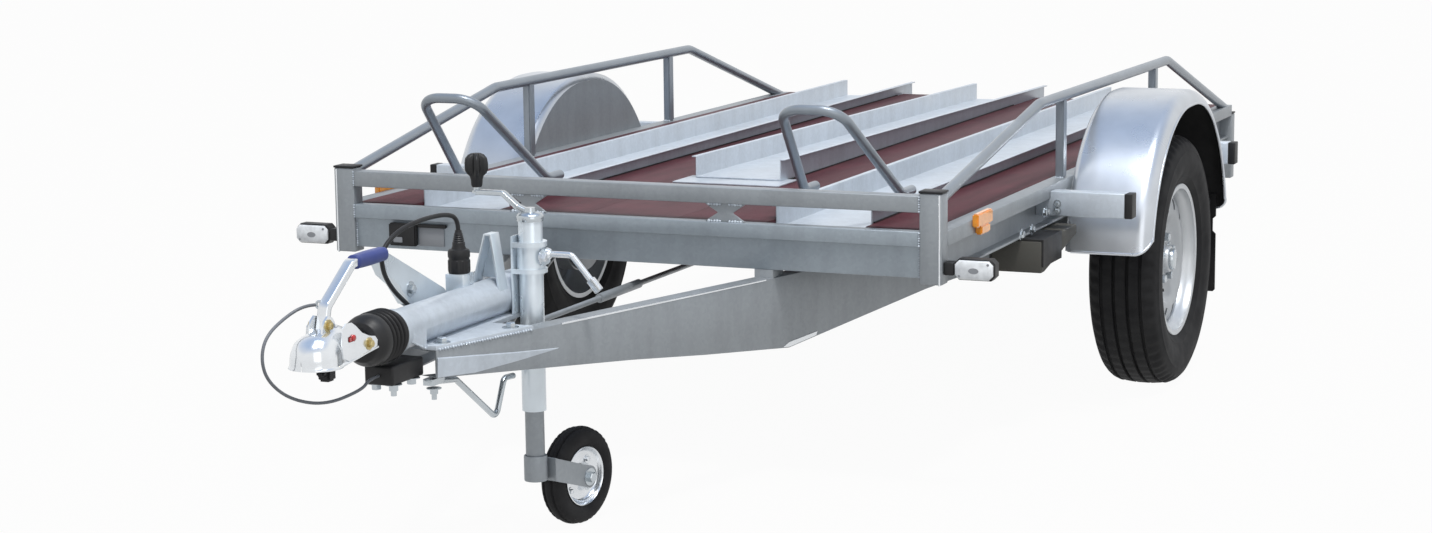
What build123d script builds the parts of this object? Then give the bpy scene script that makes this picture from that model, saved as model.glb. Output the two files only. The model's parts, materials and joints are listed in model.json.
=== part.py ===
"""Three-channel motorcycle trailer with an overrun coupling, standing on its jockey wheel.

All lengths are in millimetres. x = 0 is the middle plane and +x is the viewer's right from the front.
y = 0 in this file is the front face of the front rail and +y is the rear; z = 0 is the ground.
Every node is moved along y by y_shift when it is written, so that the shared frame has y = 0 at mid length.
"""
import math
import os

from build123d import *

os.makedirs("parts", exist_ok=True)

# Clearances and thin sheet
fit_gap = 1.0
running_gap = 0.6
sheet = 3.0
thin_sheet = 2.0

# Main frame
half_width = 723.0
frame_length = 2740.0
deck_top = 562.0
frame_depth = 98.0
rim_height = 32.0
rim_width = 40.0
front_rim_depth = 30.0
web_set_back = 8.0
cross_member_depth = 60.0
board_thickness = 21.0
cross_tube_width = 40.0
web_thickness = 5.0
bottom_flange = 30.0

# Corner posts and top rail
post_width = 50.0
post_depth = 40.0
front_post_top = 643.0
post_length = 191.0
rear_post_top = 534.0
cap_height = 5.0
cap_overlap = 1.5
top_rail_height = 35.0
top_rail_drop = 6.0
top_rail_depth = 35.0
bracket_station = 235.0
bracket_width = 96.0
bracket_waist = 34.0
bracket_thickness = 6.0

# Side railings
railing_inset = 17.0
railing_radius = 12.5
railing_turn = 70.0
railing_foot_z = 628.0
railing_shoulder_y = 757.0
railing_peak_y = 1965.0
railing_top_z = 755.0
railing_end_z = 548.0
support_front_y = 939.0
support_rear_y = 1815.0
support_width = 30.0
support_depth = 20.0

# Wheel channels
channel_pitch = 430.0
channel_half_width = 110.0
channel_wall = 51.0
channel_lip = 10.0
channel_front = 84.0
channel_overhang = 88.0
centre_channel_front = 640.0
rest_front = 560.0
rest_half_width = 135.0
rest_thickness = 4.0
rest_lap = 40.0

# Wheel hoops
hoop_radius = 11.0
hoop_turn = 55.0
hoop_foot_rear = 330.0
hoop_foot_front = 262.0
hoop_top_y = 6.0
hoop_top_z = 808.0
hoop_top_half = 66.0
hoop_foot_half = 113.0

# Wheels, axle and mudguards
axle_y = 1345.0
tyre_radius = 313.0
tyre_width = 176.0
wheel_reach = 104.0
tread_half_share = 0.34
shoulder_drop = 14.0
bulge_radius = 250.0
rim_flange_radius = 190.0
rim_flange_height = 12.0
rim_half_width = 68.0
rim_sheet = 4.0
bead_radius = 181.0
disc_x_share = 0.30
disc_dish = 34.0
disc_ring_radius = 112.0
hub_hole_radius = 34.0
drum_radius = 115.0
drum_width = 55.0
drum_wall = 12.0
stub_radius = 22.0
backplate_thickness = 4.0
arm_thickness = 32.0
arm_radius = 38.0
arm_run = 155.0
torsion_z = 392.0
torsion_size = 62.0
arm_inset = 23.0
axle_bracket_width = 50.0
guard_width = 214.0
guard_radius = 400.0
guard_centre_rise = 25.0
guard_forward = 20.0
guard_flat = 48.0
guard_panel_radius = 180.0
guard_foot_z = 389.0
guard_turn = 34.0
guard_opening_radius = 366.0
guard_inner_cut_z = 515.0
guard_inner_cut_half = 330.0
flap_width = 195.0
flap_height = 222.0
flap_thickness = 5.0
flap_bottom_z = 192.0
outrigger_y = 790.0
outrigger_depth = 40.0
outrigger_height = 58.0
outrigger_top_z = 549.0
outrigger_reach = 177.0
outrigger_cap = 18.0

# Drawbar
beam_front_y = -945.0
beam_front_x = 57.0
beam_slope = 0.30
beam_top_z = 446.0
beam_flange = 42.0
beam_sheet = 4.0
# Lower edge of the beams, columns y, z
beam_under = ((-945.0, 394.0), (-656.0, 366.0), (-428.0, 342.0), (-208.0, 316.0), (60.0, 288.0), (307.0, 318.0), (545.0, 346.0), (1159.0, 392.0))
tie_front_y = -545.0
tie_depth = 40.0
tie_height = 30.0

# Overrun device and coupling
draw_axis_z = 488.0
housing_front_y = -1032.0
saddle_front_y = -946.0
gusset_thickness = 6.0
housing_rear_y = -520.0
housing_radius = 38.0
collar_radius = 42.0
collar_length = 32.0
saddle_thickness = 8.0
saddle_half_width = 43.0
saddle_wing_length = 250.0
draw_tube_radius = 22.0
bellows_front_y = -1140.0
bellows_radius = 52.0
bellows_ribs = 5
bellows_rib_depth = 7.0
bellows_smooth_share = 0.38
ball_y = -1278.0
ball_radius = 25.0
dome_radius = 43.0
dome_skirt = 14.0
head_rear_y = -1142.0
head_half_width = 31.0
head_rear_radius = 33.0
handle_foot_y = -1250.0
handle_lug_y = -1236.0
handle_lug_z = 576.0
handle_lug_half = 9.0
handle_lug_reach = 16.0
handle_knee_y = -1146.0
handle_knee_z = 640.0
handle_end_y = -1030.0
handle_end_z = 648.0
handle_radius = 10.0
handle_foot_half = 20.0
grip_radius = 14.0

# Hand brake lever and cable bracket
lever_x = -62.0
lever_half_width = 14.0
lever_tip_y = -950.0
lever_tip_z = 628.0
lever_pivot_y = -735.0
lever_low_z = 505.0
cable_bracket_half = 36.0
cable_bracket_apex = 8.0
cable_bracket_depth = 34.0
cable_bracket_front_y = -644.0
cable_bracket_top_z = 618.0
cable_bracket_strip = 4.0

# Jockey wheel
jockey_x = 68.0
jockey_y = -576.0
outer_tube_radius = 24.0
outer_tube_low_z = 259.0
outer_tube_top_z = 642.0
inner_tube_radius = 19.0
inner_tube_low_z = 116.0
inner_tube_top_z = 500.0
clamp_low_z = 534.0
clamp_top_z = 610.0
clamp_half = 30.0
clamp_plate = 6.0
clamp_rod_radius = 7.0
clamp_rod_reach = 62.0
clamp_rod_out = 57.0
clamp_rod_drop = 72.0
jockey_radius = 100.0
jockey_tyre_width = 46.0
jockey_rim_radius = 61.0
jockey_trail = 134.0
jockey_yaw = 11.3
jockey_bore = 8.0
fork_sheet = 4.0
fork_height = 46.0
fork_gap = 5.5
fork_collar_radius = 23.5
fork_collar_top_z = 152.0
fork_tail = 25.0
axle_bolt_radius = 7.0
crank_cap_radius = 26.0
crank_cap_height = 14.0
crank_radius = 7.0
crank_rise = 34.0
crank_reach = 116.0
crank_grip_low_radius = 12.0
crank_grip_top_radius = 26.0
crank_grip_length = 78.0

# Lamps, chocks, plates and rods
lamp_reach = 23.0
lamp_width = 88.0
lamp_height = 46.0
lamp_depth = 40.0
lamp_z = 487.0
lamp_arm_width = 28.0
lamp_y = 4.0
marker_length = 105.0
marker_height = 48.0
marker_depth = 16.0
marker_station = 200.0
marker_low_z = 527.0
chock_y = 600.0
chock_length = 290.0
chock_height = 74.0
chock_width = 120.0
chock_inset = 83.0
chock_nose = 24.0
holder_length = 150.0
holder_lip = 60.0
holder_sheet = 4.0
plate_thickness = 2.0
type_plate_x = -512.0
type_plate_width = 64.0
type_plate_height = 44.0
type_plate_z = 474.0
rear_lamp_width = 140.0
rear_lamp_height = 110.0
rear_lamp_depth = 45.0
rear_lamp_z = 390.0
number_plate_z = 410.0
number_plate_width = 520.0
number_plate_height = 112.0
guide_rod_radius = 6.0
brake_rod_radius = 6.0
turnbuckle_radius = 10.0
turnbuckle_length = 200.0
turnbuckle_y = -130.0
brake_z = 406.0
guide_rod_x = 38.0
guide_rod_turn = 16.0
guide_block_width = 22.0
stop_half_width = 30.0
stop_front_y = -1060.0
stop_low_z = 398.0
stop_top_z = 434.0
plug_x = -20.0
plug_y = -708.0
plug_low_z = 550.0
plug_radius = 22.0
plug_length = 46.0
gland_radius = 12.0
gland_length = 34.0
cable_radius = 4.5
cable_turn = 60.0
safety_cable_radius = 3.0
safety_cable_turn = 90.0
arc_run_share = 0.45
# Routes, columns x, y, z
electric_route = (
    (-20.0, -708.0, 630.0), (-20.0, -708.0, 664.0), (-24.0, -748.0, 682.0), (-28.0, -840.0, 684.0), (-34.0, -930.0, 672.0),
    (-39.0, -984.0, 634.0), (-42.0, -966.0, 590.0), (-45.0, -925.0, 552.0), (-46.0, -870.0, 515.0), (-46.0, -806.0, 476.0), (-46.0, -766.0, 458.5),
)
safety_route = (
    (-16.0, -1236.0, 576.0), (-42.0, -1236.0, 576.0), (-62.0, -1275.0, 562.0), (-68.0, -1335.0, 535.0), (-68.0, -1354.0, 495.0),
    (-66.0, -1338.0, 448.0), (-52.0, -1280.0, 405.0), (-30.0, -1195.0, 380.0), (0.0, -1118.0, 400.0), (0.0, -1095.0, 416.0), (0.0, -1060.0, 416.0),
)
guide_route = (
    (38.0, -945.0, 385.1), (38.0, -840.0, 370.0), (38.0, -682.0, 263.0), (38.0, -645.0, 335.0), (38.0, -606.0, 332.0),
)

# Values worked out from those above
frame_bottom = deck_top - frame_depth
rim_bottom = deck_top - rim_height
board_bottom = deck_top - board_thickness
post_inner_x = half_width - post_width
member_inner_x = half_width - rim_width
web_x = member_inner_x
rear_post_front = frame_length - post_depth
cross_member_rear = web_set_back + cross_member_depth
front_post_low = front_post_top - post_length
rear_post_low = rear_post_top - post_length
guard_inner_x = half_width
guard_outer_x = half_width + guard_width
guard_y = axle_y - guard_forward
guard_centre_z = tyre_radius + guard_centre_rise
railing_x = half_width - railing_inset
wheel_x = half_width + wheel_reach
torsion_y = axle_y - arm_run
torsion_half_length = half_width - arm_inset
bracket_inner_x = torsion_half_length - axle_bracket_width
outrigger_end_x = half_width + outrigger_reach
lamp_x = half_width + lamp_reach
chock_x = half_width - chock_inset
channel_rear = frame_length + channel_overhang
outer_tube_bore = inner_tube_radius + running_gap
coupling_front = ball_y - dome_radius
y_shift = -(coupling_front + channel_rear) / 2


def block(x0, x1, y0, y1, z0, z1):
    return Pos((x0 + x1) / 2, (y0 + y1) / 2, (z0 + z1) / 2) * Box(abs(x1 - x0), abs(y1 - y0), abs(z1 - z0))


def rod(a, b, radius):
    a, b = Vector(*a), Vector(*b)
    return extrude(Plane(origin=a, z_dir=b - a) * Circle(radius), (b - a).length)


def pipe(points, turn, radius):
    path = FilletPolyline(*points, radius=turn)
    return sweep(Plane(origin=path @ 0, z_dir=path % 0) * Circle(radius), path=path)


def cord(points, widest_turn, radius):
    """Round cord of straight runs joined by arcs, each arc as wide as its two runs allow. An end run has one arc only."""
    runs = [Vector(*b) - Vector(*a) for a, b in zip(points, points[1:])]
    rooms = [run.length * arc_run_share for run in runs]
    rooms[0] *= 2
    rooms[-1] *= 2
    turns = []
    for before, after, room in zip(runs, runs[1:], map(min, rooms, rooms[1:])):
        turns.append(min(widest_turn, room / math.tan(math.radians(before.get_angle(after)) / 2)))
    return pipe(points, turns, radius)


def profile_yz(points, x0, x1):
    """Prism along x from a closed outline of (y, z) points."""
    face = make_face(Polyline(*[(0, y, z) for y, z in points], close=True))
    return Pos(x0, 0, 0) * extrude(face, x1 - x0, dir=(1, 0, 0))


def profile_xz(points, y0, y1):
    """Prism along y from a closed outline of (x, z) points."""
    face = make_face(Polyline(*[(x, 0, z) for x, z in points], close=True))
    return Pos(0, y0, 0) * extrude(face, y1 - y0, dir=(0, 1, 0))


def profile_xy(points, z0, z1):
    """Prism along z from a closed outline of (x, y) points."""
    face = make_face(Polyline(*[(x, y, 0) for x, y in points], close=True))
    return Pos(0, 0, z0) * extrude(face, z1 - z0, dir=(0, 0, 1))


def turned(points):
    """Body of revolution about z from (radius, z) points."""
    face = make_face(Polyline(*[(r, 0, z) for r, z in points], close=True))
    return revolve(face, Axis.Z, 360)


def mirrored(shape):
    return mirror(shape, about=Plane.YZ)


def pair(shape):
    return [shape, mirrored(shape)]


def write(name, shapes):
    shapes = shapes if isinstance(shapes, list) else [shapes]
    solids = [s for shape in shapes for s in (Pos(0, y_shift, 0) * shape).solids()]
    export_step(solids[0] if len(solids) == 1 else Compound(children=solids), f"parts/{name}.step")


# Main frame
front_member = block(-post_inner_x, post_inner_x, 0, front_rim_depth, rim_bottom, deck_top)
front_member += block(-post_inner_x, post_inner_x, web_set_back, cross_member_rear, frame_bottom, board_bottom)
write("front_cross_member", front_member)

side_member = block(member_inner_x, half_width, post_depth, rear_post_front, rim_bottom, deck_top)
side_member += block(web_x, web_x + web_thickness, post_depth, rear_post_front, frame_bottom, rim_bottom)
side_member += block(web_x, web_x + bottom_flange, post_depth, rear_post_front, frame_bottom, frame_bottom + web_thickness)
write("side_members", pair(side_member))

write("rear_cross_member", block(-post_inner_x, post_inner_x, rear_post_front, frame_length, frame_bottom, board_bottom))

# Stations of the inner cross members as shares of the frame length
cross_member_shares = (0.0365, 0.241, 0.434, 0.62, 0.81)
cross_members = []
for share in cross_member_shares:
    y = share * frame_length
    cross_members.append(block(-web_x, web_x, y - cross_tube_width / 2, y + cross_tube_width / 2, frame_bottom, board_bottom))
write("inner_cross_members", cross_members)

# Corner posts, their caps, the top rail and its two waisted brackets
front_post = block(post_inner_x, half_width, 0, post_depth, front_post_low, front_post_top)
rear_post = block(post_inner_x, half_width, rear_post_front, frame_length, rear_post_low, rear_post_top)
write("corner_posts", pair(front_post) + pair(rear_post))

top_rail_top = front_post_top - top_rail_drop
top_rail_low = top_rail_top - top_rail_height
top_rail = block(-post_inner_x, post_inner_x, 0, top_rail_depth, top_rail_low, top_rail_top)
half, waist = bracket_width / 2, bracket_waist / 2
middle = (deck_top + top_rail_low) / 2
bow = profile_xz(
    [(-half, deck_top), (half, deck_top), (waist, middle), (half, top_rail_low), (-half, top_rail_low), (-waist, middle)],
    bracket_thickness, 2 * bracket_thickness)
for x in (-bracket_station, bracket_station):
    top_rail += Pos(x, 0, 0) * bow
write("top_rail", top_rail)

# Side railings with their two supports
railing_path = [
    (railing_x, post_depth, railing_foot_z),
    (railing_x, railing_shoulder_y, railing_top_z),
    (railing_x, railing_peak_y, railing_top_z),
    (railing_x, rear_post_front, railing_end_z),
]
railing = pipe(railing_path, railing_turn, railing_radius)
for y in (support_front_y, support_rear_y):
    railing += block(railing_x - support_depth / 2, railing_x + support_depth / 2,
                     y - support_width / 2, y + support_width / 2, deck_top, railing_top_z)
railing -= block(0, half_width, 0, post_depth, 0, railing_top_z)
railing -= block(0, half_width, rear_post_front - 4 * rim_width, frame_length, 0, deck_top)
railing -= block(0, half_width, rear_post_front - cap_overlap, frame_length, 0, railing_top_z)
write("side_railings", pair(railing))

# Deck boards between the channels
slot_half = channel_half_width + fit_gap
boards = []
for x0, x1, y0, y1 in ((channel_pitch + slot_half, member_inner_x, post_depth, rear_post_front - cap_overlap),
                       (slot_half, channel_pitch - slot_half, front_rim_depth, frame_length)):
    boards += pair(block(x0, x1, y0, y1, board_bottom, deck_top))
boards.append(block(-slot_half, slot_half, front_rim_depth, centre_channel_front + rest_lap, board_bottom, deck_top))
write("deck_boards", boards)


def channel(front, rear):
    """U channel with small outward lips, its floor resting on z = 0."""
    body = block(-channel_half_width, channel_half_width, front, rear, 0, channel_wall)
    body += block(-channel_half_width - channel_lip, channel_half_width + channel_lip, front, rear, channel_wall - sheet, channel_wall)
    return body - block(-channel_half_width + sheet, channel_half_width - sheet, front, rear, sheet, channel_wall)


write("outer_wheel_channels", pair(Pos(channel_pitch, 0, board_bottom) * channel(channel_front, channel_rear)))

# The centre channel rests on a cross plate on the boards in front and on the rear member behind
rest_top = deck_top + rest_thickness
rise = rest_top - board_bottom
rest_rear = centre_channel_front + rest_lap
tilt = math.degrees(math.atan2(rise, channel_rear - rest_rear))
centre = Rot(-tilt, 0, 0) * channel(centre_channel_front - channel_rear, 0)
write("centre_wheel_channel", Pos(0, channel_rear, board_bottom) * centre)
write("channel_rest", block(-rest_half_width, rest_half_width, rest_front, rest_rear, deck_top, rest_top))

# Wheel hoops standing on the lips of the outer channels
lip_top = board_bottom + channel_wall
foot_z = lip_top + hoop_radius
hoop_path = [
    (hoop_foot_half, hoop_foot_rear, foot_z), (hoop_foot_half, hoop_foot_front, foot_z),
    (hoop_top_half, hoop_top_y, hoop_top_z), (-hoop_top_half, hoop_top_y, hoop_top_z),
    (-hoop_foot_half, hoop_foot_front, foot_z), (-hoop_foot_half, hoop_foot_rear, foot_z),
]
hoop = pipe(hoop_path, hoop_turn, hoop_radius)
write("wheel_hoops", pair(Pos(channel_pitch, 0, 0) * hoop))

# Outrigger bars before and behind the mudguards
outriggers, caps = [], []
for y in (outrigger_y, 2 * axle_y - outrigger_y - outrigger_depth):
    bar = block(web_x + web_thickness, outrigger_end_x, y, y + outrigger_depth, outrigger_top_z - outrigger_height, rim_bottom)
    bar += block(half_width, outrigger_end_x, y, y + outrigger_depth, rim_bottom, outrigger_top_z)
    outriggers += pair(bar)
    caps += pair(block(outrigger_end_x, outrigger_end_x + outrigger_cap, y, y + outrigger_depth,
                       outrigger_top_z - outrigger_height, outrigger_top_z))
write("outrigger_bars", outriggers)
caps += pair(block(post_inner_x - cap_overlap, half_width + cap_overlap, -cap_overlap, post_depth + cap_overlap, front_post_top, front_post_top + cap_height))
caps += pair(block(post_inner_x, half_width + cap_overlap, rear_post_front, frame_length + cap_overlap, rear_post_top, rear_post_top + cap_height))
write("end_caps", caps)

# Mudguards: a rounded section swept over the wheel in two quarter turns with a short flat run between them
def section_rectangle(x0, x1, r0, r1, turn):
    face = Pos((x0 + x1) / 2, (r0 + r1) / 2) * Rectangle(x1 - x0, r1 - r0)
    return fillet(face.vertices().sort_by(lambda v: v.X + v.Y)[-1], turn) if turn else face


section = section_rectangle(guard_inner_x, guard_outer_x, guard_panel_radius, guard_radius, guard_turn)
section -= section_rectangle(guard_inner_x + thin_sheet, guard_outer_x - thin_sheet, 0, guard_radius - thin_sheet, guard_turn - thin_sheet)
section -= section_rectangle(guard_inner_x + thin_sheet, guard_outer_x, 0, guard_opening_radius, 0)
flat_front = guard_y - guard_flat / 2
section = Plane(origin=(0, flat_front, guard_centre_z), x_dir=(1, 0, 0), z_dir=(0, -1, 0)) * section
front_quarter = revolve(section, Axis((0, flat_front, guard_centre_z), (1, 0, 0)), 90)
guard = front_quarter + Pos(0, guard_y, 0) * mirror(Pos(0, -guard_y, 0) * front_quarter, about=Plane.XZ)
guard += extrude(section, guard_flat, dir=(0, 1, 0))
guard_half = guard_radius + guard_flat / 2
guard -= block(0, guard_outer_x, guard_y - guard_half, guard_y + guard_half, 0, guard_foot_z)
guard -= block(guard_inner_x, guard_inner_x + thin_sheet, guard_y - guard_inner_cut_half, guard_y + guard_inner_cut_half, guard_foot_z, guard_inner_cut_z)
write("mudguards", pair(guard))

# Mudflaps hang on the rear foot of each mudguard
flap_y = guard_y + guard_flat / 2 + math.sqrt(guard_radius ** 2 - (guard_foot_z - guard_centre_z) ** 2)
flap_x0 = guard_inner_x + thin_sheet + fit_gap
write("mudflaps", pair(block(flap_x0, flap_x0 + flap_width, flap_y, flap_y + flap_thickness, flap_bottom_z, flap_bottom_z + flap_height)))

# Rubber torsion axle with swing arms, stub axles and brake back plates
axle = block(-torsion_half_length, torsion_half_length, torsion_y - torsion_size / 2, torsion_y + torsion_size / 2,
             torsion_z - torsion_size / 2, torsion_z + torsion_size / 2)
torsion_top = torsion_z + torsion_size / 2
arm_x0 = torsion_half_length
arm_x1 = arm_x0 + arm_thickness
side = (Pos(arm_x0, torsion_y, torsion_z) * Rot(0, 90, 0) * Cylinder(arm_radius, arm_thickness, align=(Align.CENTER, Align.CENTER, Align.MIN)))
side += (Pos(arm_x0, axle_y, tyre_radius) * Rot(0, 90, 0) * Cylinder(arm_radius, arm_thickness, align=(Align.CENTER, Align.CENTER, Align.MIN)))
run = Vector(0, axle_y - torsion_y, tyre_radius - torsion_z)
across = Vector(0, -run.Z, run.Y).normalized() * arm_radius
corners = [(torsion_y + across.Y, torsion_z + across.Z), (torsion_y - across.Y, torsion_z - across.Z),
           (axle_y - across.Y, tyre_radius - across.Z), (axle_y + across.Y, tyre_radius + across.Z)]
side += profile_yz(corners, arm_x0, arm_x1)
disc_x = wheel_x + rim_half_width * disc_x_share
drum_x1 = disc_x - disc_dish
drum_x0 = drum_x1 - drum_width
side += Pos(arm_x1, axle_y, tyre_radius) * Rot(0, 90, 0) * Cylinder(stub_radius, drum_x1 - drum_wall - arm_x1, align=(Align.CENTER, Align.CENTER, Align.MIN))
plate_x1 = drum_x0 - 2 * sheet
side += Pos(plate_x1 - backplate_thickness, axle_y, tyre_radius) * Rot(0, 90, 0) * Cylinder(drum_radius, backplate_thickness, align=(Align.CENTER, Align.CENTER, Align.MIN))
side += block(bracket_inner_x, torsion_half_length, torsion_y - torsion_size / 2, torsion_y + torsion_size / 2, torsion_top, frame_bottom)
axle += side
axle += mirrored(side)
write("axle", axle)

# Road wheels: revolved about the axle line, outer face towards +x
tread_half = tyre_width * tread_half_share
tyre_half = tyre_width / 2
tyre_half_outline = [
    (bead_radius, rim_half_width - rim_sheet), (rim_flange_radius + running_gap, rim_half_width),
    (bulge_radius - 2 * shoulder_drop, tyre_half - sheet), (bulge_radius, tyre_half),
    (bulge_radius + 2 * shoulder_drop, tyre_half - sheet), (tyre_radius - shoulder_drop, tyre_half - shoulder_drop),
    (tyre_radius - sheet, tread_half), (tyre_radius, tread_half / 3),
]
tyre_outline = [(r, -x) for r, x in tyre_half_outline] + [(r, x) for r, x in reversed(tyre_half_outline)]
barrel_out = bead_radius - running_gap
barrel_in = barrel_out - rim_sheet
rim_outline = [
    (barrel_out, -rim_half_width), (rim_flange_radius, -rim_half_width), (rim_flange_radius, -rim_half_width - rim_sheet / 2),
    (barrel_in, -rim_half_width - rim_sheet / 2),
    (barrel_in, disc_x - wheel_x - rim_sheet), (disc_ring_radius, disc_x - wheel_x - rim_sheet),
    (disc_ring_radius - disc_dish, drum_x1 - wheel_x), (drum_radius, drum_x1 - wheel_x), (drum_radius, drum_x0 - wheel_x),
    (drum_radius - drum_wall, drum_x0 - wheel_x), (drum_radius - drum_wall, drum_x1 - wheel_x - drum_wall),
    (stub_radius + running_gap, drum_x1 - wheel_x - drum_wall), (stub_radius + running_gap, drum_x1 - wheel_x - drum_wall / 2),
    (0, drum_x1 - wheel_x - drum_wall / 2), (0, drum_x1 - wheel_x + disc_dish), (hub_hole_radius, drum_x1 - wheel_x + disc_dish),
    (hub_hole_radius, drum_x1 - wheel_x + rim_sheet), (disc_ring_radius - disc_dish, drum_x1 - wheel_x + rim_sheet),
    (disc_ring_radius, disc_x - wheel_x), (barrel_in, disc_x - wheel_x), (barrel_in, rim_half_width + rim_sheet / 2),
    (rim_flange_radius, rim_half_width + rim_sheet / 2), (rim_flange_radius, rim_half_width), (barrel_out, rim_half_width),
]


def on_axle(shape, side_sign):
    turn = 90 if side_sign > 0 else -90
    return Pos(side_sign * wheel_x, axle_y, tyre_radius) * Rot(0, turn, 0) * shape


for name, outline in (("tyre", tyre_outline), ("rim", rim_outline)):
    body = turned(outline)
    write(f"{name}_right", on_axle(body, 1))
    write(f"{name}_left", on_axle(body, -1))


# Drawbar beams: deep folded plates, open on the inside, running back to the axle
beam_rear_y = torsion_y - torsion_size / 2
slant = math.atan(beam_slope)
stretch = 1 / math.cos(slant)
outline = [(beam_front_y, beam_top_z)] + [(y, z) for y, z in beam_under] + [(beam_under[-1][0], beam_top_z)]


def beam_prism(points, x0, x1):
    """Prism in the beam's own frame: length along y is measured along the slanted beam."""
    return profile_yz([((y - beam_front_y) * stretch, z) for y, z in points], x0, x1)


web = beam_prism(outline, -beam_flange, 0)
inner = [(beam_front_y - beam_flange, beam_top_z - beam_sheet), (beam_front_y - beam_flange, beam_under[0][1] + beam_sheet)]
inner += [(y, z + beam_sheet) for y, z in beam_under[1:]] + [(beam_under[-1][0] + beam_flange, beam_under[-1][1] + beam_sheet)]
inner += [(beam_under[-1][0] + beam_flange, beam_top_z - beam_sheet)]
web -= beam_prism(inner, -2 * beam_flange, -beam_sheet)
beam = Pos(beam_front_x, beam_front_y, 0) * Rot(0, 0, -math.degrees(slant)) * web
beam = beam & block(0, half_width, beam_front_y, beam_rear_y, 0, deck_top)


def beam_outer_x(y):
    return beam_front_x + beam_slope * (y - beam_front_y)


for y0, y1 in ((web_set_back, cross_member_rear),
               (cross_member_shares[1] * frame_length - cross_tube_width / 2, cross_member_shares[1] * frame_length + cross_tube_width / 2)):
    beam += block(beam_outer_x(y0) - beam_flange, beam_outer_x(y0), y0, y1, beam_top_z, frame_bottom)
write("drawbar_beams", pair(beam))

# Overrun housing on its saddle across both beams
wing_rear = saddle_front_y + saddle_wing_length
tie_rear_y = tie_front_y + tie_depth
saddle = profile_xy([(-beam_outer_x(saddle_front_y), saddle_front_y), (beam_outer_x(saddle_front_y), saddle_front_y),
                     (beam_outer_x(wing_rear), wing_rear), (-beam_outer_x(wing_rear), wing_rear)], beam_top_z, beam_top_z + saddle_thickness)
saddle += block(-saddle_half_width, saddle_half_width, wing_rear, tie_rear_y, beam_top_z, beam_top_z + saddle_thickness)
saddle += block(-beam_outer_x(tie_front_y), beam_outer_x(tie_front_y), tie_front_y, tie_rear_y, beam_top_z, beam_top_z + saddle_thickness)
housing = saddle + rod((0, housing_front_y, draw_axis_z), (0, tie_rear_y, draw_axis_z), housing_radius)
housing += rod((0, housing_front_y, draw_axis_z), (0, housing_front_y + collar_length, draw_axis_z), collar_radius)
housing += rod((0, tie_front_y, draw_axis_z), (0, tie_rear_y, draw_axis_z), collar_radius)
for x0 in (-housing_radius, housing_radius - gusset_thickness):
    housing += profile_yz([(housing_front_y, draw_axis_z), (saddle_front_y, draw_axis_z), (saddle_front_y, beam_top_z)], x0, x0 + gusset_thickness)
housing -= rod((0, housing_front_y, draw_axis_z), (0, tie_front_y, draw_axis_z), draw_tube_radius + running_gap)
write("overrun_housing", housing)

# Bellows between housing and coupling head
bellows_length = housing_front_y - bellows_front_y
smooth = bellows_length * bellows_smooth_share
pitch = (bellows_length - smooth) / (2 * bellows_ribs)
skin = [(draw_tube_radius + fit_gap, 0), (bellows_radius - bellows_rib_depth, 0), (bellows_radius, smooth / 3), (bellows_radius, smooth)]
for i in range(2 * bellows_ribs):
    r = bellows_radius - (bellows_rib_depth if i % 2 == 0 else 0)
    skin.append((r, smooth + (i + 1) * pitch))
skin.append((draw_tube_radius + fit_gap, bellows_length))
bellows = Pos(0, bellows_front_y, draw_axis_z) * Rot(-90, 0, 0) * turned(skin)
write("bellows", bellows)

# Coupling head with its ball socket and the draw tube behind it
skirt_z = draw_axis_z - dome_skirt
head = Pos(0, ball_y, draw_axis_z) * Sphere(dome_radius)
head += Pos(0, ball_y, draw_axis_z) * Cylinder(dome_radius, 2 * dome_skirt)
head += block(-head_half_width, head_half_width, ball_y, head_rear_y, skirt_z, draw_axis_z + head_rear_radius)
head += rod((0, ball_y, draw_axis_z), (0, head_rear_y, draw_axis_z), head_rear_radius)
head -= block(-half_width, half_width, ball_y - 2 * dome_radius, ball_y + dome_radius, 0, skirt_z)
head -= Pos(0, ball_y, draw_axis_z) * Sphere(ball_radius)
head -= rod((0, ball_y, 0), (0, ball_y, draw_axis_z), ball_radius)
head += rod((0, head_rear_y, draw_axis_z), (0, housing_front_y + collar_length, draw_axis_z), draw_tube_radius)
write("coupling_head", head)

# Coupling handle: a bent bar on a foot, with its grip
head_top = draw_axis_z + head_rear_radius
knee = (0, handle_knee_y, handle_knee_z)
handle_rise = Vector(0, handle_end_y - handle_knee_y, handle_end_z - handle_knee_z)
handle_direction = handle_rise.normalized()
handle = block(-handle_foot_half, handle_foot_half, handle_foot_y - handle_foot_half, handle_foot_y + handle_foot_half, head_top, head_top + handle_foot_half)
handle += pipe([(0, handle_foot_y, head_top + handle_foot_half / 2), (0, handle_lug_y, handle_lug_z), knee, (0, handle_end_y, handle_end_z)],
               2 * handle_radius, handle_radius)
handle += block(-handle_lug_reach, 0, handle_lug_y - handle_lug_half, handle_lug_y + handle_lug_half, handle_lug_z - handle_lug_half, handle_lug_z + handle_lug_half)
grip_start = Vector(*knee) + handle_direction * (2 * handle_radius)
grip_end = Vector(0, handle_end_y, handle_end_z) + handle_direction * handle_radius
grip = rod(tuple(grip_start), tuple(grip_end), grip_radius)
handle -= head
write("coupling_handle", handle)
write("coupling_grip", grip - handle)

# Hand brake lever, a folded wedge on the far side of the housing
lever_plan = [(lever_tip_y, lever_tip_z), (lever_tip_y, lever_tip_z - 2 * handle_radius),
              (lever_pivot_y - 2 * collar_length, lever_low_z), (lever_pivot_y, beam_top_z + saddle_thickness),
              (lever_pivot_y + collar_length, beam_top_z + saddle_thickness), (lever_pivot_y + collar_length, lever_low_z)]
lever = profile_yz(lever_plan, lever_x - lever_half_width, lever_x + lever_half_width)
write("handbrake_lever", lever)

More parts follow.
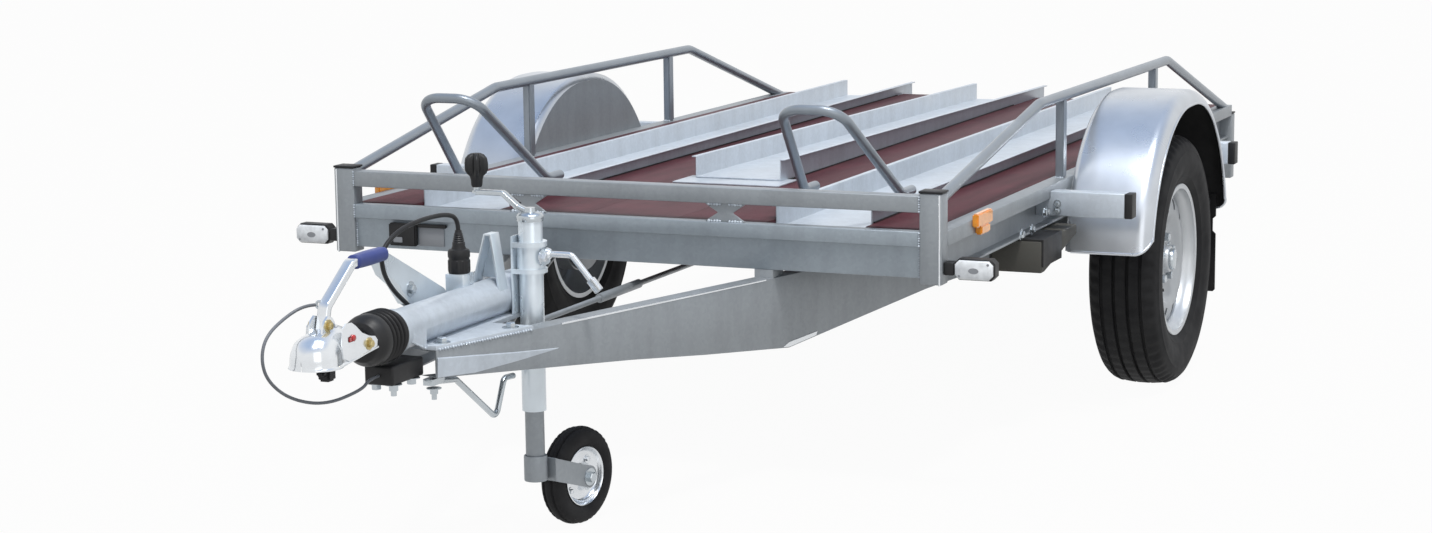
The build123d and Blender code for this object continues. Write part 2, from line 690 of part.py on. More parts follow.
# Jockey wheel clamp on a side plate, with its clamping rod
plate_x1 = saddle_half_width
clamp_front, clamp_rear = jockey_y - clamp_half, jockey_y + clamp_half
clamp = block(housing_radius, plate_x1, clamp_front, clamp_rear, beam_top_z + saddle_thickness, clamp_top_z)
clamp += block(plate_x1, jockey_x + clamp_half, clamp_front, clamp_rear, clamp_low_z, clamp_top_z)
clamp -= rod((jockey_x, jockey_y, 0), (jockey_x, jockey_y, deck_top + clamp_top_z), outer_tube_radius)
rod_z = clamp_top_z - 2 * clamp_rod_radius
clamp += pipe([(jockey_x + clamp_half - clamp_plate, jockey_y, rod_z), (jockey_x + clamp_half + clamp_rod_reach, jockey_y, rod_z),
               (jockey_x + clamp_half + clamp_rod_reach + clamp_rod_out, jockey_y, rod_z - clamp_rod_drop)],
              2 * clamp_rod_radius, clamp_rod_radius)
write("jockey_clamp", clamp)

# Jockey wheel: outer tube, crank, sliding inner tube, swivelling fork and wheel
outer = rod((jockey_x, jockey_y, outer_tube_low_z), (jockey_x, jockey_y, outer_tube_top_z), outer_tube_radius)
outer -= rod((jockey_x, jockey_y, 0), (jockey_x, jockey_y, outer_tube_top_z - sheet), outer_tube_bore)
write("jockey_outer_tube", outer)
cap_top = outer_tube_top_z + crank_cap_height
crank = rod((jockey_x, jockey_y, outer_tube_top_z), (jockey_x, jockey_y, cap_top), crank_cap_radius)
crank_end_x = jockey_x - crank_reach
crank_top = cap_top + crank_rise
crank += pipe([(jockey_x, jockey_y, cap_top - crank_radius), (jockey_x - crank_reach / 2, jockey_y, crank_top), (crank_end_x, jockey_y, crank_top)],
              2 * crank_radius, crank_radius)
crank += rod((crank_end_x, jockey_y, crank_top - crank_radius), (crank_end_x, jockey_y, crank_top + 2 * crank_radius), crank_radius)
write("jockey_crank", crank)
knob = [(0, 0), (crank_grip_low_radius, 0), (crank_grip_low_radius, crank_grip_length / 3),
        (crank_grip_top_radius, crank_grip_length * 2 / 3), (crank_grip_top_radius, crank_grip_length - crank_radius),
        (crank_grip_low_radius, crank_grip_length), (0, crank_grip_length)]
write("crank_grip", (Pos(crank_end_x, jockey_y, crank_top) * turned(knob)) - crank)

inner = rod((jockey_x, jockey_y, inner_tube_low_z), (jockey_x, jockey_y, inner_tube_top_z), inner_tube_radius)
inner -= rod((jockey_x, jockey_y, 0), (jockey_x, jockey_y, inner_tube_top_z), inner_tube_radius - sheet)
write("jockey_inner_tube", inner)


def swivelled(shape):
    """From the jockey wheel's own frame, x along its axle and y along its trail, to the frame of the trailer."""
    return Pos(jockey_x, jockey_y, 0) * Rot(0, 0, -jockey_yaw) * shape


fork_inner = jockey_tyre_width / 2 + fork_gap
fork_outer = fork_inner + fork_sheet
floor_top = inner_tube_low_z - 2 * fit_gap
floor_low = floor_top - 2 * fork_sheet
fork_low = jockey_radius - fork_height / 2
fork = rod((0, 0, floor_low), (0, 0, fork_collar_top_z), fork_collar_radius)
fork -= rod((0, 0, floor_top), (0, 0, fork_collar_top_z), inner_tube_radius + running_gap)
fork += block(-fork_inner, fork_inner, -fork_collar_radius, fork_collar_radius, floor_low, floor_top)
for sign in (-1, 1):
    fork += block(sign * fork_inner, sign * fork_outer, -fork_collar_radius, jockey_trail + fork_tail, fork_low, fork_low + fork_height)
fork += rod((-fork_outer - fork_sheet, jockey_trail, jockey_radius), (fork_outer + fork_sheet, jockey_trail, jockey_radius), axle_bolt_radius)
write("jockey_fork", swivelled(fork))

half = jockey_tyre_width / 2
jockey_tyre = turned([(jockey_rim_radius, -half + sheet), (jockey_radius - half / 2, -half), (jockey_radius - sheet, -half / 2), (jockey_radius, 0),
                      (jockey_radius - sheet, half / 2), (jockey_radius - half / 2, half), (jockey_rim_radius, half - sheet)])
hub = 2 * jockey_bore
jockey_rim = turned([(jockey_bore, -half), (hub, -half), (hub, -sheet), (jockey_rim_radius - sheet, -sheet), (jockey_rim_radius - sheet, -half + sheet),
                     (jockey_rim_radius, -half + sheet), (jockey_rim_radius, half - sheet), (jockey_rim_radius - sheet, half - sheet),
                     (jockey_rim_radius - sheet, sheet), (hub, sheet), (hub, half), (jockey_bore, half)])
for name, body in (("jockey_tyre", jockey_tyre), ("jockey_rim", jockey_rim)):
    write(name, swivelled(Pos(0, jockey_trail, jockey_radius) * Rot(0, 90, 0) * body))

# Plug in its holder, and the folded cable bracket, both on top of the housing
saddle_cut = rod((0, housing_front_y, draw_axis_z), (0, tie_front_y, draw_axis_z), housing_radius)
plug = rod((plug_x, plug_y, plug_low_z), (plug_x, plug_y, plug_low_z + plug_length), plug_radius)
plug_top = plug_low_z + plug_length
plug += rod((plug_x, plug_y, plug_top), (plug_x, plug_y, plug_top + gland_length), gland_radius)
write("plug", plug)
holder = block(plug_x - plug_radius + sheet, plug_x + plug_radius - sheet, plug_y - plug_radius, plug_y + plug_radius, draw_axis_z, plug_low_z)
holder -= saddle_cut
strip = cable_bracket_strip
fold = [(-cable_bracket_half, draw_axis_z), (cable_bracket_apex - 2 * strip, cable_bracket_top_z), (cable_bracket_apex + 2 * strip, cable_bracket_top_z),
        (cable_bracket_half, draw_axis_z), (cable_bracket_half - strip, draw_axis_z), (cable_bracket_apex + strip, cable_bracket_top_z - strip),
        (cable_bracket_apex - strip, cable_bracket_top_z - strip), (strip - cable_bracket_half, draw_axis_z)]
folded = profile_xz(fold, cable_bracket_front_y, cable_bracket_front_y + cable_bracket_depth) - saddle_cut
folded = max(folded.solids(), key=lambda s: s.volume)
holder = max(holder.solids(), key=lambda s: s.center().Z)
write("cable_bracket", [folded, holder])

# Free cables: the electric cable from the plug, and the breakaway cable from the coupling handle
write("electric_cable", cord(electric_route, cable_turn, cable_radius))
write("breakaway_cable", cord(safety_route, safety_cable_turn, safety_cable_radius))

# Stop block in front of the beams, guide rod under them and the brake rod to the axle
write("front_stop", block(-stop_half_width, stop_half_width, stop_front_y, beam_front_y, stop_low_z, stop_top_z))


def beam_low(y):
    for (y0, z0), (y1, z1) in zip(beam_under, beam_under[1:]):
        if y0 <= y <= y1:
            return z0 + (z1 - z0) * (y - y0) / (y1 - y0)


block_rear = beam_front_y + 2 * guide_block_width
rod_top = beam_low(block_rear)
guide = block(guide_rod_x - guide_block_width / 2, guide_rod_x + guide_block_width / 2, beam_front_y, block_rear, rod_top - 2 * guide_rod_radius, rod_top)
guide += pipe(guide_route, guide_rod_turn, guide_rod_radius)
write("guide_rod", guide)

brake = rod((0, tie_front_y, brake_z), (0, beam_rear_y, brake_z), brake_rod_radius)
brake += block(-brake_rod_radius, brake_rod_radius, tie_front_y, tie_front_y + 2 * brake_rod_radius, brake_z, beam_top_z)
brake += rod((0, turnbuckle_y, brake_z), (0, turnbuckle_y + turnbuckle_length, brake_z), turnbuckle_radius)
write("brake_rod", brake)

# Lamps, markers, chocks and plates
lamp_mid = (post_depth + lamp_y) / 2
lamp_y0, lamp_y1 = lamp_mid - lamp_depth / 2, lamp_mid + lamp_depth / 2
write("lamp_arms", pair(block(half_width, lamp_x, lamp_mid - lamp_arm_width / 2, lamp_mid + lamp_arm_width / 2,
                              lamp_z - lamp_arm_width / 2, lamp_z + lamp_arm_width / 2)))
lamp = block(lamp_x, lamp_x + lamp_width, lamp_y0, lamp_y1, lamp_z - lamp_height / 2, lamp_z + lamp_height / 2)
write("front_lamps", pair(fillet(lamp.edges().filter_by(Axis.Y), lamp_height / 4)))
write("side_markers", pair(block(half_width, half_width + marker_depth, marker_station, marker_station + marker_length, marker_low_z, marker_low_z + marker_height)))
rear_lamp = block(half_width - rear_lamp_width, half_width, frame_length, frame_length + rear_lamp_depth, rear_lamp_z, rear_lamp_z + rear_lamp_height)
write("rear_lamps", pair(rear_lamp))
plates = [block(type_plate_x, type_plate_x + type_plate_width, web_set_back - plate_thickness, web_set_back, type_plate_z, type_plate_z + type_plate_height),
          block(-number_plate_width / 2, number_plate_width / 2, frame_length, frame_length + plate_thickness, number_plate_z, number_plate_z + number_plate_height)]
write("blank_plates", plates)

chock_top = frame_bottom - holder_sheet
chock = profile_yz([(chock_y, chock_top), (chock_y + chock_length, chock_top), (chock_y + chock_length, chock_top - chock_nose),
                    (chock_y + chock_nose, chock_top - chock_height), (chock_y, chock_top - chock_height)], chock_x, chock_x + chock_width)
write("wheel_chocks", pair(chock))
holder = block(chock_x - holder_sheet, chock_x + chock_width + holder_sheet, chock_y, chock_y + holder_length, chock_top, frame_bottom)
holder += block(chock_x - holder_sheet, chock_x, chock_y, chock_y + holder_length, chock_top - holder_lip, chock_top)
holder += block(chock_x + chock_width, chock_x + chock_width + holder_sheet, chock_y, chock_y + holder_length, chock_top - holder_lip, chock_top)
write("chock_holders", pair(holder))
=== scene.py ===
"""Motorcycle trailer on its jockey wheel: looks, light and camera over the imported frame.

Shapes are given in millimetres and built in the frame's metres.
"""
import json
import math
from math import copysign, cos, pi, radians, sin

import bmesh
import bpy
from mathutils import Matrix, Vector


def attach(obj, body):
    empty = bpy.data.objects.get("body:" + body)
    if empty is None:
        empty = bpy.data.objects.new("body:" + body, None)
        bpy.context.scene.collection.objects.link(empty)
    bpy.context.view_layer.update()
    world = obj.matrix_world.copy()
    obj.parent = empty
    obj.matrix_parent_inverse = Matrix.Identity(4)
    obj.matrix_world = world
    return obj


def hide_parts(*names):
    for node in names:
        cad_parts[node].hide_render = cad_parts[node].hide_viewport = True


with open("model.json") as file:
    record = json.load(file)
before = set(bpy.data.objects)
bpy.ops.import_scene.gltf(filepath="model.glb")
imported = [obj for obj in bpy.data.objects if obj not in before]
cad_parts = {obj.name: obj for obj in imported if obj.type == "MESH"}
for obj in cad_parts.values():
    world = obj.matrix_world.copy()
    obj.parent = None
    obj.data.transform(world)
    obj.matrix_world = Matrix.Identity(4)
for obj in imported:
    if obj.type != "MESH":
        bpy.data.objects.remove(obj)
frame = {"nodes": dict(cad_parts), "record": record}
scene = bpy.context.scene
show = scene.collection.objects.link
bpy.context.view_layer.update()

# The part's source counts y from the front rail's front face; the shared frame counts it from mid length.
Y_SHIFT = -0.7535
SIDES = ((1, "right"), (-1, "left"))
UP = Vector((0, 0, 1))

# Places that several pieces share, in millimetres
HALF_WIDTH = 723
WHEEL_X, WHEEL_Y, WHEEL_Z = 827, 1345, 313
CHANNEL_X = 430
RAILING_POSTS = (939, 1815)
BEAM_X, BEAM_FRONT, BEAM_SLOPE = 57, -945, 0.30
DRAW_AXIS_Z = 488
LEVER_X = -62
JOCKEY_X, JOCKEY_Y = 68, -576
CRANK_X = -48
PLUG_X, PLUG_Y = -20, -708


def at(x, y, z):
    """A point given in millimetres from the front rail's front face, in the shared frame."""
    return Vector((x / 1000, y / 1000 + Y_SHIFT, z / 1000))


def polar(r, a, z):
    """A point given in millimetres by its distance from the Z axis, its angle and its height."""
    return Vector((r * cos(a), r * sin(a), z)) / 1000


def ring_of(count):
    """The angles of a full turn in equal steps."""
    return [2 * pi * k / count for k in range(count)]


# Camera, from the fit to the photograph
YAW, PITCH, ROLL = 0.406, 0.161, -0.012
EYE, LENS, SENSOR = (2486.359, -5282.82, 1399.857), 68.476, 36
forward = Vector((-sin(YAW) * cos(PITCH), cos(YAW) * cos(PITCH), -sin(PITCH)))
right = Vector((cos(YAW), sin(YAW), 0))
up = right.cross(forward)
cam_x = cos(ROLL) * right + sin(ROLL) * up
cam_y = -sin(ROLL) * right + cos(ROLL) * up
camera = bpy.data.objects.new("camera", bpy.data.cameras.new("camera"))
show(camera)
camera.matrix_world = Matrix.Translation(at(*EYE)) @ Matrix((cam_x, cam_y, -forward)).transposed().to_4x4()
camera.data.sensor_width = SENSOR
camera.data.lens = LENS
camera.data.clip_end = 100
scene.camera = camera


# Materials
def shader(name, color, roughness, metallic=0.0, specular=0.5, coat=0.0):
    m = bpy.data.materials.new(name)
    m.use_nodes = True
    b = m.node_tree.nodes["Principled BSDF"]
    b.inputs["Base Color"].default_value = (*color, 1)
    b.inputs["Roughness"].default_value = roughness
    b.inputs["Metallic"].default_value = metallic
    b.inputs["Specular IOR Level"].default_value = specular
    b.inputs["Coat Weight"].default_value = coat
    return m, b


def node(m, kind, **inputs):
    """New shader node of a material or world, with some of its inputs set."""
    n = m.node_tree.nodes.new("ShaderNode" + kind)
    for key, value in inputs.items():
        n.inputs[key.replace("_", " ")].default_value = value
    return n


def link(m, a, b):
    m.node_tree.links.new(a, b)


def coords(m, scale=(1, 1, 1)):
    c = node(m, "TexCoord")
    s = node(m, "Mapping", Scale=scale)
    link(m, c.outputs["Object"], s.inputs["Vector"])
    return s.outputs["Vector"]


def noise(m, vector, scale, detail=3.0, roughness=0.55):
    n = node(m, "TexNoise", Scale=scale, Detail=detail, Roughness=roughness)
    link(m, vector, n.inputs["Vector"])
    return n.outputs["Fac"]


def ramp(m, value, stops):
    r = node(m, "ValToRGB")
    for stop, (place, color) in zip(r.color_ramp.elements, (stops[0], stops[-1])):
        stop.position, stop.color = place, (*color, 1)
    for place, color in stops[1:-1]:
        r.color_ramp.elements.new(place).color = (*color, 1)
    link(m, value, r.inputs["Fac"])
    return r.outputs["Color"]


def mix(m, factor, a, b, mode="MIX"):
    n = node(m, "Mix")
    n.data_type, n.blend_type = "RGBA", mode
    for socket, value in ((n.inputs["Factor"], factor), (n.inputs["A"], a), (n.inputs["B"], b)):
        if isinstance(value, (int, float)):
            socket.default_value = value
        elif isinstance(value, tuple):
            socket.default_value = (*value, 1)
        else:
            link(m, value, socket)
    return n.outputs["Result"]


def spread(m, value, low, high):
    n = node(m, "MapRange", To_Min=low, To_Max=high)
    link(m, value, n.inputs["Value"])
    return n.outputs["Result"]


def bump(m, b, height, strength, distance=0.001):
    n = node(m, "Bump", Strength=strength, Distance=distance)
    link(m, height, n.inputs["Height"])
    link(m, n.outputs["Normal"], b.inputs["Normal"])


def scaled(color, k):
    return tuple(min(1.0, c * k) for c in color)


def galvanised(name, color, metallic, roughness):
    """Hot-dip zinc: small crystals, wide soft clouds and a little drip streaking."""
    m, b = shader(name, color, roughness, metallic)
    plain, tall = coords(m), coords(m, (1, 1, 0.16))
    cells = node(m, "TexVoronoi", Scale=140)
    link(m, plain, cells.inputs["Vector"])
    split = node(m, "SeparateColor")
    link(m, cells.outputs["Color"], split.inputs["Color"])
    crystal = ramp(m, split.outputs["Red"], [(0, scaled(color, 0.90)), (1, scaled(color, 1.10))])
    clouds = ramp(m, noise(m, plain, 4.5, 5), [(0.3, scaled(color, 0.80)), (0.52, color), (0.75, scaled(color,
            1.14))])
    streaks = ramp(m, noise(m, tall, 26, 3), [(0.36, scaled(color, 0.80)), (0.6, scaled(color, 1.06))])
    base = mix(m, 0.5, crystal, clouds)
    base = mix(m, 0.3, base, streaks)
    link(m, base, b.inputs["Base Color"])
    link(m, spread(m, noise(m, plain, 9, 4), roughness - 0.13, roughness + 0.15), b.inputs["Roughness"])
    bump(m, b, noise(m, plain, 60, 3), 0.10, 0.0006)
    return m


def bright(name, color, roughness, metallic, dents=0.03):
    """Electroplated zinc: smooth and bright, with faint handling clouds."""
    m, b = shader(name, color, roughness, metallic)
    v = coords(m)
    link(m, ramp(m, noise(m, v, 9, 4), [(0.3, scaled(color, 0.90)), (0.7, scaled(color, 1.06))]),
         b.inputs["Base Color"])
    link(m, spread(m, noise(m, v, 12, 3), roughness - 0.05, roughness + 0.09), b.inputs["Roughness"])
    if dents:
        bump(m, b, noise(m, v, 45, 2), dents, 0.0003)
    return m


def moulded(name, color, roughness, grain=900):
    """Plastic or rubber with a fine moulded grain and dusty patches."""
    m, b = shader(name, color, roughness, specular=0.28)
    v = coords(m)
    dusty = tuple(c * 0.9 + 0.014 for c in color)
    link(m, ramp(m, noise(m, v, 14, 4), [(0.35, color), (0.75, dusty)]), b.inputs["Base Color"])
    link(m, spread(m, noise(m, v, 30, 3), roughness - 0.1, roughness + 0.14), b.inputs["Roughness"])
    bump(m, b, noise(m, v, grain, 2), 0.12, 0.0003)
    return m


def board(name, color):
    """Film-faced plywood: a fine wire-mesh print with scuffs."""
    m, b = shader(name, color, 0.55, specular=0.20)
    v = coords(m)
    base = ramp(m, noise(m, coords(m, (1, 0.12, 1)), 30, 4),
                [(0.3, scaled(color, 0.75)), (0.7, scaled(color, 1.22))])
    scuff = ramp(m, noise(m, v, 7, 6, 0.7), [(0.5, (0, 0, 0)), (0.72, (1, 1, 1))])
    link(m, mix(m, scuff, base, scaled(color, 1.45)), b.inputs["Base Color"])
    mesh_print = node(m, "TexBrick", Scale=90, Mortar_Size=0.06)
    link(m, v, mesh_print.inputs["Vector"])
    bump(m, b, mesh_print.outputs["Fac"], 0.25, 0.0005)
    return m


def lens(name, color):
    """Clear or coloured cover with fine ribs."""
    m, b = shader(name, color, 0.12, coat=0.6)
    v = coords(m)
    ribs = node(m, "TexWave", Scale=110, Distortion=0.0)
    link(m, v, ribs.inputs["Vector"])
    link(m, ramp(m, noise(m, v, 60, 2), [(0.3, scaled(color, 0.85)), (0.7, scaled(color, 1.1))]),
         b.inputs["Base Color"])
    bump(m, b, ribs.outputs["Fac"], 0.3, 0.0008)
    return m


STEEL, PLATED, PLASTIC, RUBBER = "galvanised_steel", "bright_zinc", "black_plastic", "black_rubber"
ZINC = (0.282, 0.304, 0.325)
MATERIALS = {name: make(name, *looks) for name, make, *looks in (
    (STEEL, galvanised, ZINC, 0.40, 0.44),
    (PLATED, bright, (0.50, 0.54, 0.57), 0.22, 0.90),
    ("deck_plywood", board, (0.072, 0.020, 0.026)),
    (PLASTIC, moulded, (0.010, 0.010, 0.011), 0.45),
    (RUBBER, moulded, (0.012, 0.012, 0.013), 0.42),
    ("tyre_rubber", moulded, (0.006, 0.006, 0.007), 0.75, 500),
    ("silver_paint", bright, (0.56, 0.58, 0.60), 0.36, 0.5),
    ("blue_plastic", moulded, (0.035, 0.055, 0.22), 0.4),
    ("cable_sheath", moulded, (0.16, 0.17, 0.19), 0.35),
    ("lamp_lens", lens, (0.75, 0.77, 0.80)),
    ("orange_lens", lens, (0.90, 0.33, 0.02)),
    ("red_lens", lens, (0.45, 0.012, 0.012)),
    ("plate_grey", moulded, (0.27, 0.28, 0.30), 0.5),
    ("chock_plastic", moulded, (0.072, 0.070, 0.062), 0.6),
)}
# Other coats: pale zinc, smooth and yellow zinc, darker disc silver and the guards' black sheet. The pale zinc
# paints light on the beam tips, the darker silver paints shade in the wheels' recessed discs and the black
# sheet paints shade inside the guards.
# A paler copy of the galvanised coat, for the channels, bars, housing, welds and beam tips. On the beam tips
# the paler colour is painted light from the sky.
PALE_AND_LIT_ZINC = galvanised("pale_and_lit_zinc", (0.52, 0.57, 0.63), 0.30, 0.38)
# The front member's coat is the galvanised coat tinted bluer: a painted sky reflection on its face.
MEMBER_SKY_SHEEN = galvanised("member_sky_sheen_zinc", (0.288, 0.328, 0.365), 0.40, 0.40)
TUBE = bright("tube_zinc", (0.66, 0.72, 0.77), 0.27, 0.55)
SHEET = bright("sheet_zinc", (0.56, 0.59, 0.63), 0.27, 0.80, 0.0)
POLISHED = bright("polished_zinc", (0.74, 0.765, 0.79), 0.15, 0.84)
RAIL = bright("rail_zinc", (0.245, 0.275, 0.31), 0.30, 0.45)
DISC_SHADE_SILVER = bright("disc_shade_silver", (0.40, 0.42, 0.44), 0.38, 0.45)
BRASS = bright("yellow_zinc", (0.52, 0.42, 0.20), 0.30, 0.85)
GUARD_SHADE_SHEET = moulded("shade_sheet", (0.008, 0.008, 0.009), 0.8)
SLOTS = {s["node"]: s["material_slot"] for s in frame["record"]["subparts"]}
BODY_OF = {n: body for body, nodes in frame["record"]["behaviour"]["bodies"].items() for n in nodes}

COATS = {
    "front_cross_member": MEMBER_SKY_SHEEN, "outer_wheel_channels": PALE_AND_LIT_ZINC, "centre_wheel_channel": PALE_AND_LIT_ZINC,
    "outrigger_bars": PALE_AND_LIT_ZINC, "channel_rest": PALE_AND_LIT_ZINC, "overrun_housing": PALE_AND_LIT_ZINC, "side_railings": RAIL,
    "jockey_outer_tube": TUBE, "jockey_clamp": TUBE, "cable_bracket": TUBE, "handbrake_lever": TUBE,
}
for name, obj in frame["nodes"].items():
    obj.data.materials.clear()
    obj.data.materials.append(COATS.get(name, MATERIALS[SLOTS[name]]))


# Building helpers
def finish_piece(obj, slot, body, sharp=35):
    """Gives the object its slot's material unless it has a coat, shades it and lets it ride its body."""
    if not obj.data.materials:
        obj.data.materials.append(MATERIALS[slot])
    show(obj)
    if obj.type == "MESH" and sharp:
        obj.data.shade_smooth()
        obj.data.set_sharp_from_angle(angle=radians(sharp))
    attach(obj, body)


def piece(name, bm, slot, nodes=(), sharp=35, coat=None):
    """Makes an object of bm. It rides the body of the nodes it stands for, or the frame."""
    mesh = bpy.data.meshes.new(name)
    if coat:
        mesh.materials.append(coat)
    bm.normal_update()
    bm.to_mesh(mesh)
    bm.free()
    obj = bpy.data.objects.new(name, mesh)
    finish_piece(obj, slot, BODY_OF[nodes[0]] if nodes else "frame", sharp)
    if nodes:
        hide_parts(*nodes)
    return obj


def rounded_copy(cad_node, width):
    """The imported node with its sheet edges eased. The housing's rear tie is drawn in to its middle strip."""
    bm = bmesh.new()
    bm.from_mesh(frame["nodes"][cad_node].data)
    if cad_node == "overrun_housing":
        strip, tie_front, _ = at(43, -546, 0)
        for v in bm.verts:
            if v.co.y > tie_front and abs(v.co.x) > strip:
                v.co.x = copysign(strip, v.co.x)
    bmesh.ops.remove_doubles(bm, verts=bm.verts, dist=1e-6)
    bmesh.ops.dissolve_degenerate(bm, dist=1e-6, edges=bm.edges)
    bmesh.ops.dissolve_limit(bm, angle_limit=0.01, verts=bm.verts, edges=bm.edges)
    obj = piece(cad_node + "_eased", bm, SLOTS[cad_node], [cad_node], sharp=None, coat=COATS.get(cad_node))
    mod = obj.modifiers.new("ease", "BEVEL")
    mod.width, mod.segments, mod.limit_method, mod.angle_limit = width / 1000, 2, "ANGLE", radians(40)
    mod.use_clamp_overlap = True
    depsgraph = bpy.context.evaluated_depsgraph_get()
    mesh = bpy.data.meshes.new_from_object(obj.evaluated_get(depsgraph))
    obj.modifiers.clear()
    obj.data = mesh
    obj.data.shade_smooth()
    obj.data.set_sharp_from_angle(angle=radians(30))


def frame_along(direction):
    """Rotation that takes +Z to direction."""
    return direction.to_track_quat("Z", "Y").to_matrix().to_4x4()


def add_lathe(bm, profile, centre, axis, steps=64, keep=None, closed=False):
    """Surface of revolution from (radius, along) points about a line through centre. keep picks its faces."""
    turn = Matrix.Translation(centre) @ frame_along(Vector(axis))
    rings = []
    for a in ring_of(steps):
        rings.append([bm.verts.new(turn @ polar(r, a, z)) for r, z in profile])
    last = len(profile) if closed else len(profile) - 1
    for i in range(steps):
        p, q = rings[i], rings[(i + 1) % steps]
        for j in range(last):
            k = (j + 1) % len(profile)
            if keep is None or keep(i, j):
                bm.faces.new((p[j], q[j], q[k], p[k]))
    return rings


def add_fluted(bm, profile, place, steps, share):
    """Upright turned form whose radius is cut to share(step, radius, height) of itself."""
    rings = [[bm.verts.new(place + polar(r * share(i, r, z), a, z)) for r, z in profile]
             for i, a in enumerate(ring_of(steps))]
    for p, q in zip(rings, rings[1:] + rings[:1]):
        for j in range(len(profile) - 1):
            bm.faces.new((p[j], q[j], q[j + 1], p[j + 1]))
    bmesh.ops.remove_doubles(bm, verts=bm.verts, dist=1e-6)


def path_with_arcs(points, turn, steps=8):
    """Steel tube's centreline: straight runs joined by arcs of one radius."""
    turn /= 1000
    points = [Vector(p) for p in points]
    out = [points[0]]
    for a, b, c in zip(points, points[1:], points[2:]):
        u, v = (a - b).normalized(), (c - b).normalized()
        half = u.angle(v) / 2
        reach = turn / math.tan(half)
        centre = b + (u + v).normalized() * (turn / sin(half))
        start, end = b + u * reach - centre, b + v * reach - centre
        total = start.angle(end)
        for i in range(steps + 1):
            t = i / steps
            out.append(centre + (start * sin((1 - t) * total) + end * sin(t * total)) / sin(total))
    out.append(points[-1])
    return out


def along(line):
    """Each point of a line with the line's direction there."""
    steps = [(b - a).normalized() for a, b in zip(line, line[1:])]
    return [(p, (a + b).normalized()) for p, a, b in zip(line, steps[:1] + steps, steps + steps[-1:])]


def join_rings(bm, rings, caps=True):
    for p, q in zip(rings, rings[1:]):
        for k in range(len(p)):
            m = (k + 1) % len(p)
            bm.faces.new((p[k], p[m], q[m], q[k]))
    if caps:
        bm.faces.new(reversed(rings[0]))
        bm.faces.new(rings[-1])


def add_tube(bm, line, radius, sides=20):
    """Round bar or cable along line."""
    rings, normal = [], None
    for p, tangent in along(line):
        normal = normal or tangent.orthogonal().normalized()
        normal = (normal - tangent * normal.dot(tangent)).normalized()
        other = tangent.cross(normal)
        rings.append([bm.verts.new(p + (normal * cos(a) + other * sin(a)) * radius / 1000)
                      for a in ring_of(sides)])
    join_rings(bm, rings)


def add_sweep(bm, line, outline, side):
    """Bar of one section along line. side is the section's first axis, kept through the bends."""
    rings = []
    for p, tangent in along(line):
        across = (Vector(side) - tangent * tangent.dot(side)).normalized()
        other = tangent.cross(across)
        rings.append([bm.verts.new(p + (across * u + other * v) / 1000) for u, v in outline])
    join_rings(bm, rings)


def eased_rectangle(half_u, half_v, turn, steps=3):
    """Outline of a bar's section with rounded corners."""
    out = []
    for su, sv, start in ((1, 1, 0), (-1, 1, 90), (-1, -1, 180), (1, -1, 270)):
        for k in range(steps + 1):
            a = radians(start + 90 * k / steps)
            out.append((su * (half_u - turn) + turn * cos(a), sv * (half_v - turn) + turn * sin(a)))
    return out


def add_plate(bm, outline, normal, thickness):
    """Flat plate from a closed outline of points, thickened along normal."""
    face = bm.faces.new([bm.verts.new(p) for p in outline])
    made = bmesh.ops.extrude_face_region(bm, geom=[face])
    moved = [v for v in made["geom"] if isinstance(v, bmesh.types.BMVert)]
    bmesh.ops.translate(bm, verts=moved, vec=Vector(normal).normalized() * thickness / 1000)
    bmesh.ops.recalc_face_normals(bm, faces=bm.faces)


def add_block(bm, low, high, ease=0.0):
    """Box between two corners, its edges eased."""
    size = [b - a for a, b in zip(low, high)]
    middle = Vector([(a + b) / 2 for a, b in zip(low, high)])
    made = bmesh.ops.create_cube(bm, size=1, matrix=Matrix.Translation(middle) @ Matrix.Diagonal((*size, 1)))
    if ease:
        edges = {e for v in made["verts"] for e in v.link_edges}
        bmesh.ops.bevel(bm, geom=list(edges), offset=ease / 1000, segments=2, affect="EDGES",
                        clamp_overlap=True)


def add_bolt(bm, place, axis, across=13, height=6):
    """Hexagon head on a washer, its axis pointing out of the face."""
    axis = Vector(axis).normalized()
    turn = Matrix.Translation(place) @ frame_along(axis)
    washer, r = 1.6, across / math.sqrt(3)
    add_lathe(bm, [(0, 0), (across * 0.95, 0), (across * 0.95, washer), (0, washer)], place, axis, 20)
    rings = [[bm.verts.new(turn @ polar(r * share, a, washer + height * rise)) for a in ring_of(6)]
             for share, rise in ((1, 0), (1, 0.85), (0.84, 1))]
    join_rings(bm, rings, caps=False)
    bm.faces.new(rings[-1])


def add_weld(bm, a, b, radius, pitch):
    """Bead of overlapping drops between two points."""
    a, b = Vector(a), Vector(b)
    count = max(2, round((b - a).length * 1000 / pitch))
    for i in range(count):
        p = a.lerp(b, (i + 0.5) / count)
        wobble = 1 + 0.18 * sin(i * 2.3 + a.x * 40)
        bmesh.ops.create_icosphere(bm, subdivisions=1, radius=radius / 1000 * wobble,
                                   matrix=Matrix.Translation(p))


# Free cables, over the routes of the part's source
def cable(name, route, diameter, slot, cad_node):
    """Smooth cable along route. diameter is in metres."""
    curve = bpy.data.curves.new(name, "CURVE")
    curve.dimensions = "3D"
    spline = curve.splines.new("NURBS")
    spline.points.add(len(route) - 1)
    for point, p in zip(spline.points, route):
        point.co = (*at(*p), 1)
    spline.order_u = 3
    spline.use_endpoint_u = True
    spline.resolution_u = 12
    curve.bevel_depth = diameter / 2
    curve.bevel_resolution = 5
    curve.use_fill_caps = True
    obj = bpy.data.objects.new(name, curve)
    finish_piece(obj, slot, "frame")
    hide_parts(cad_node)
    plain = curve.copy()
    plain.bevel_depth = 0
    probe = bpy.data.objects.new(name + "_probe", plain)
    show(probe)
    line = bpy.data.meshes.new_from_object(probe)
    bpy.data.objects.remove(probe)


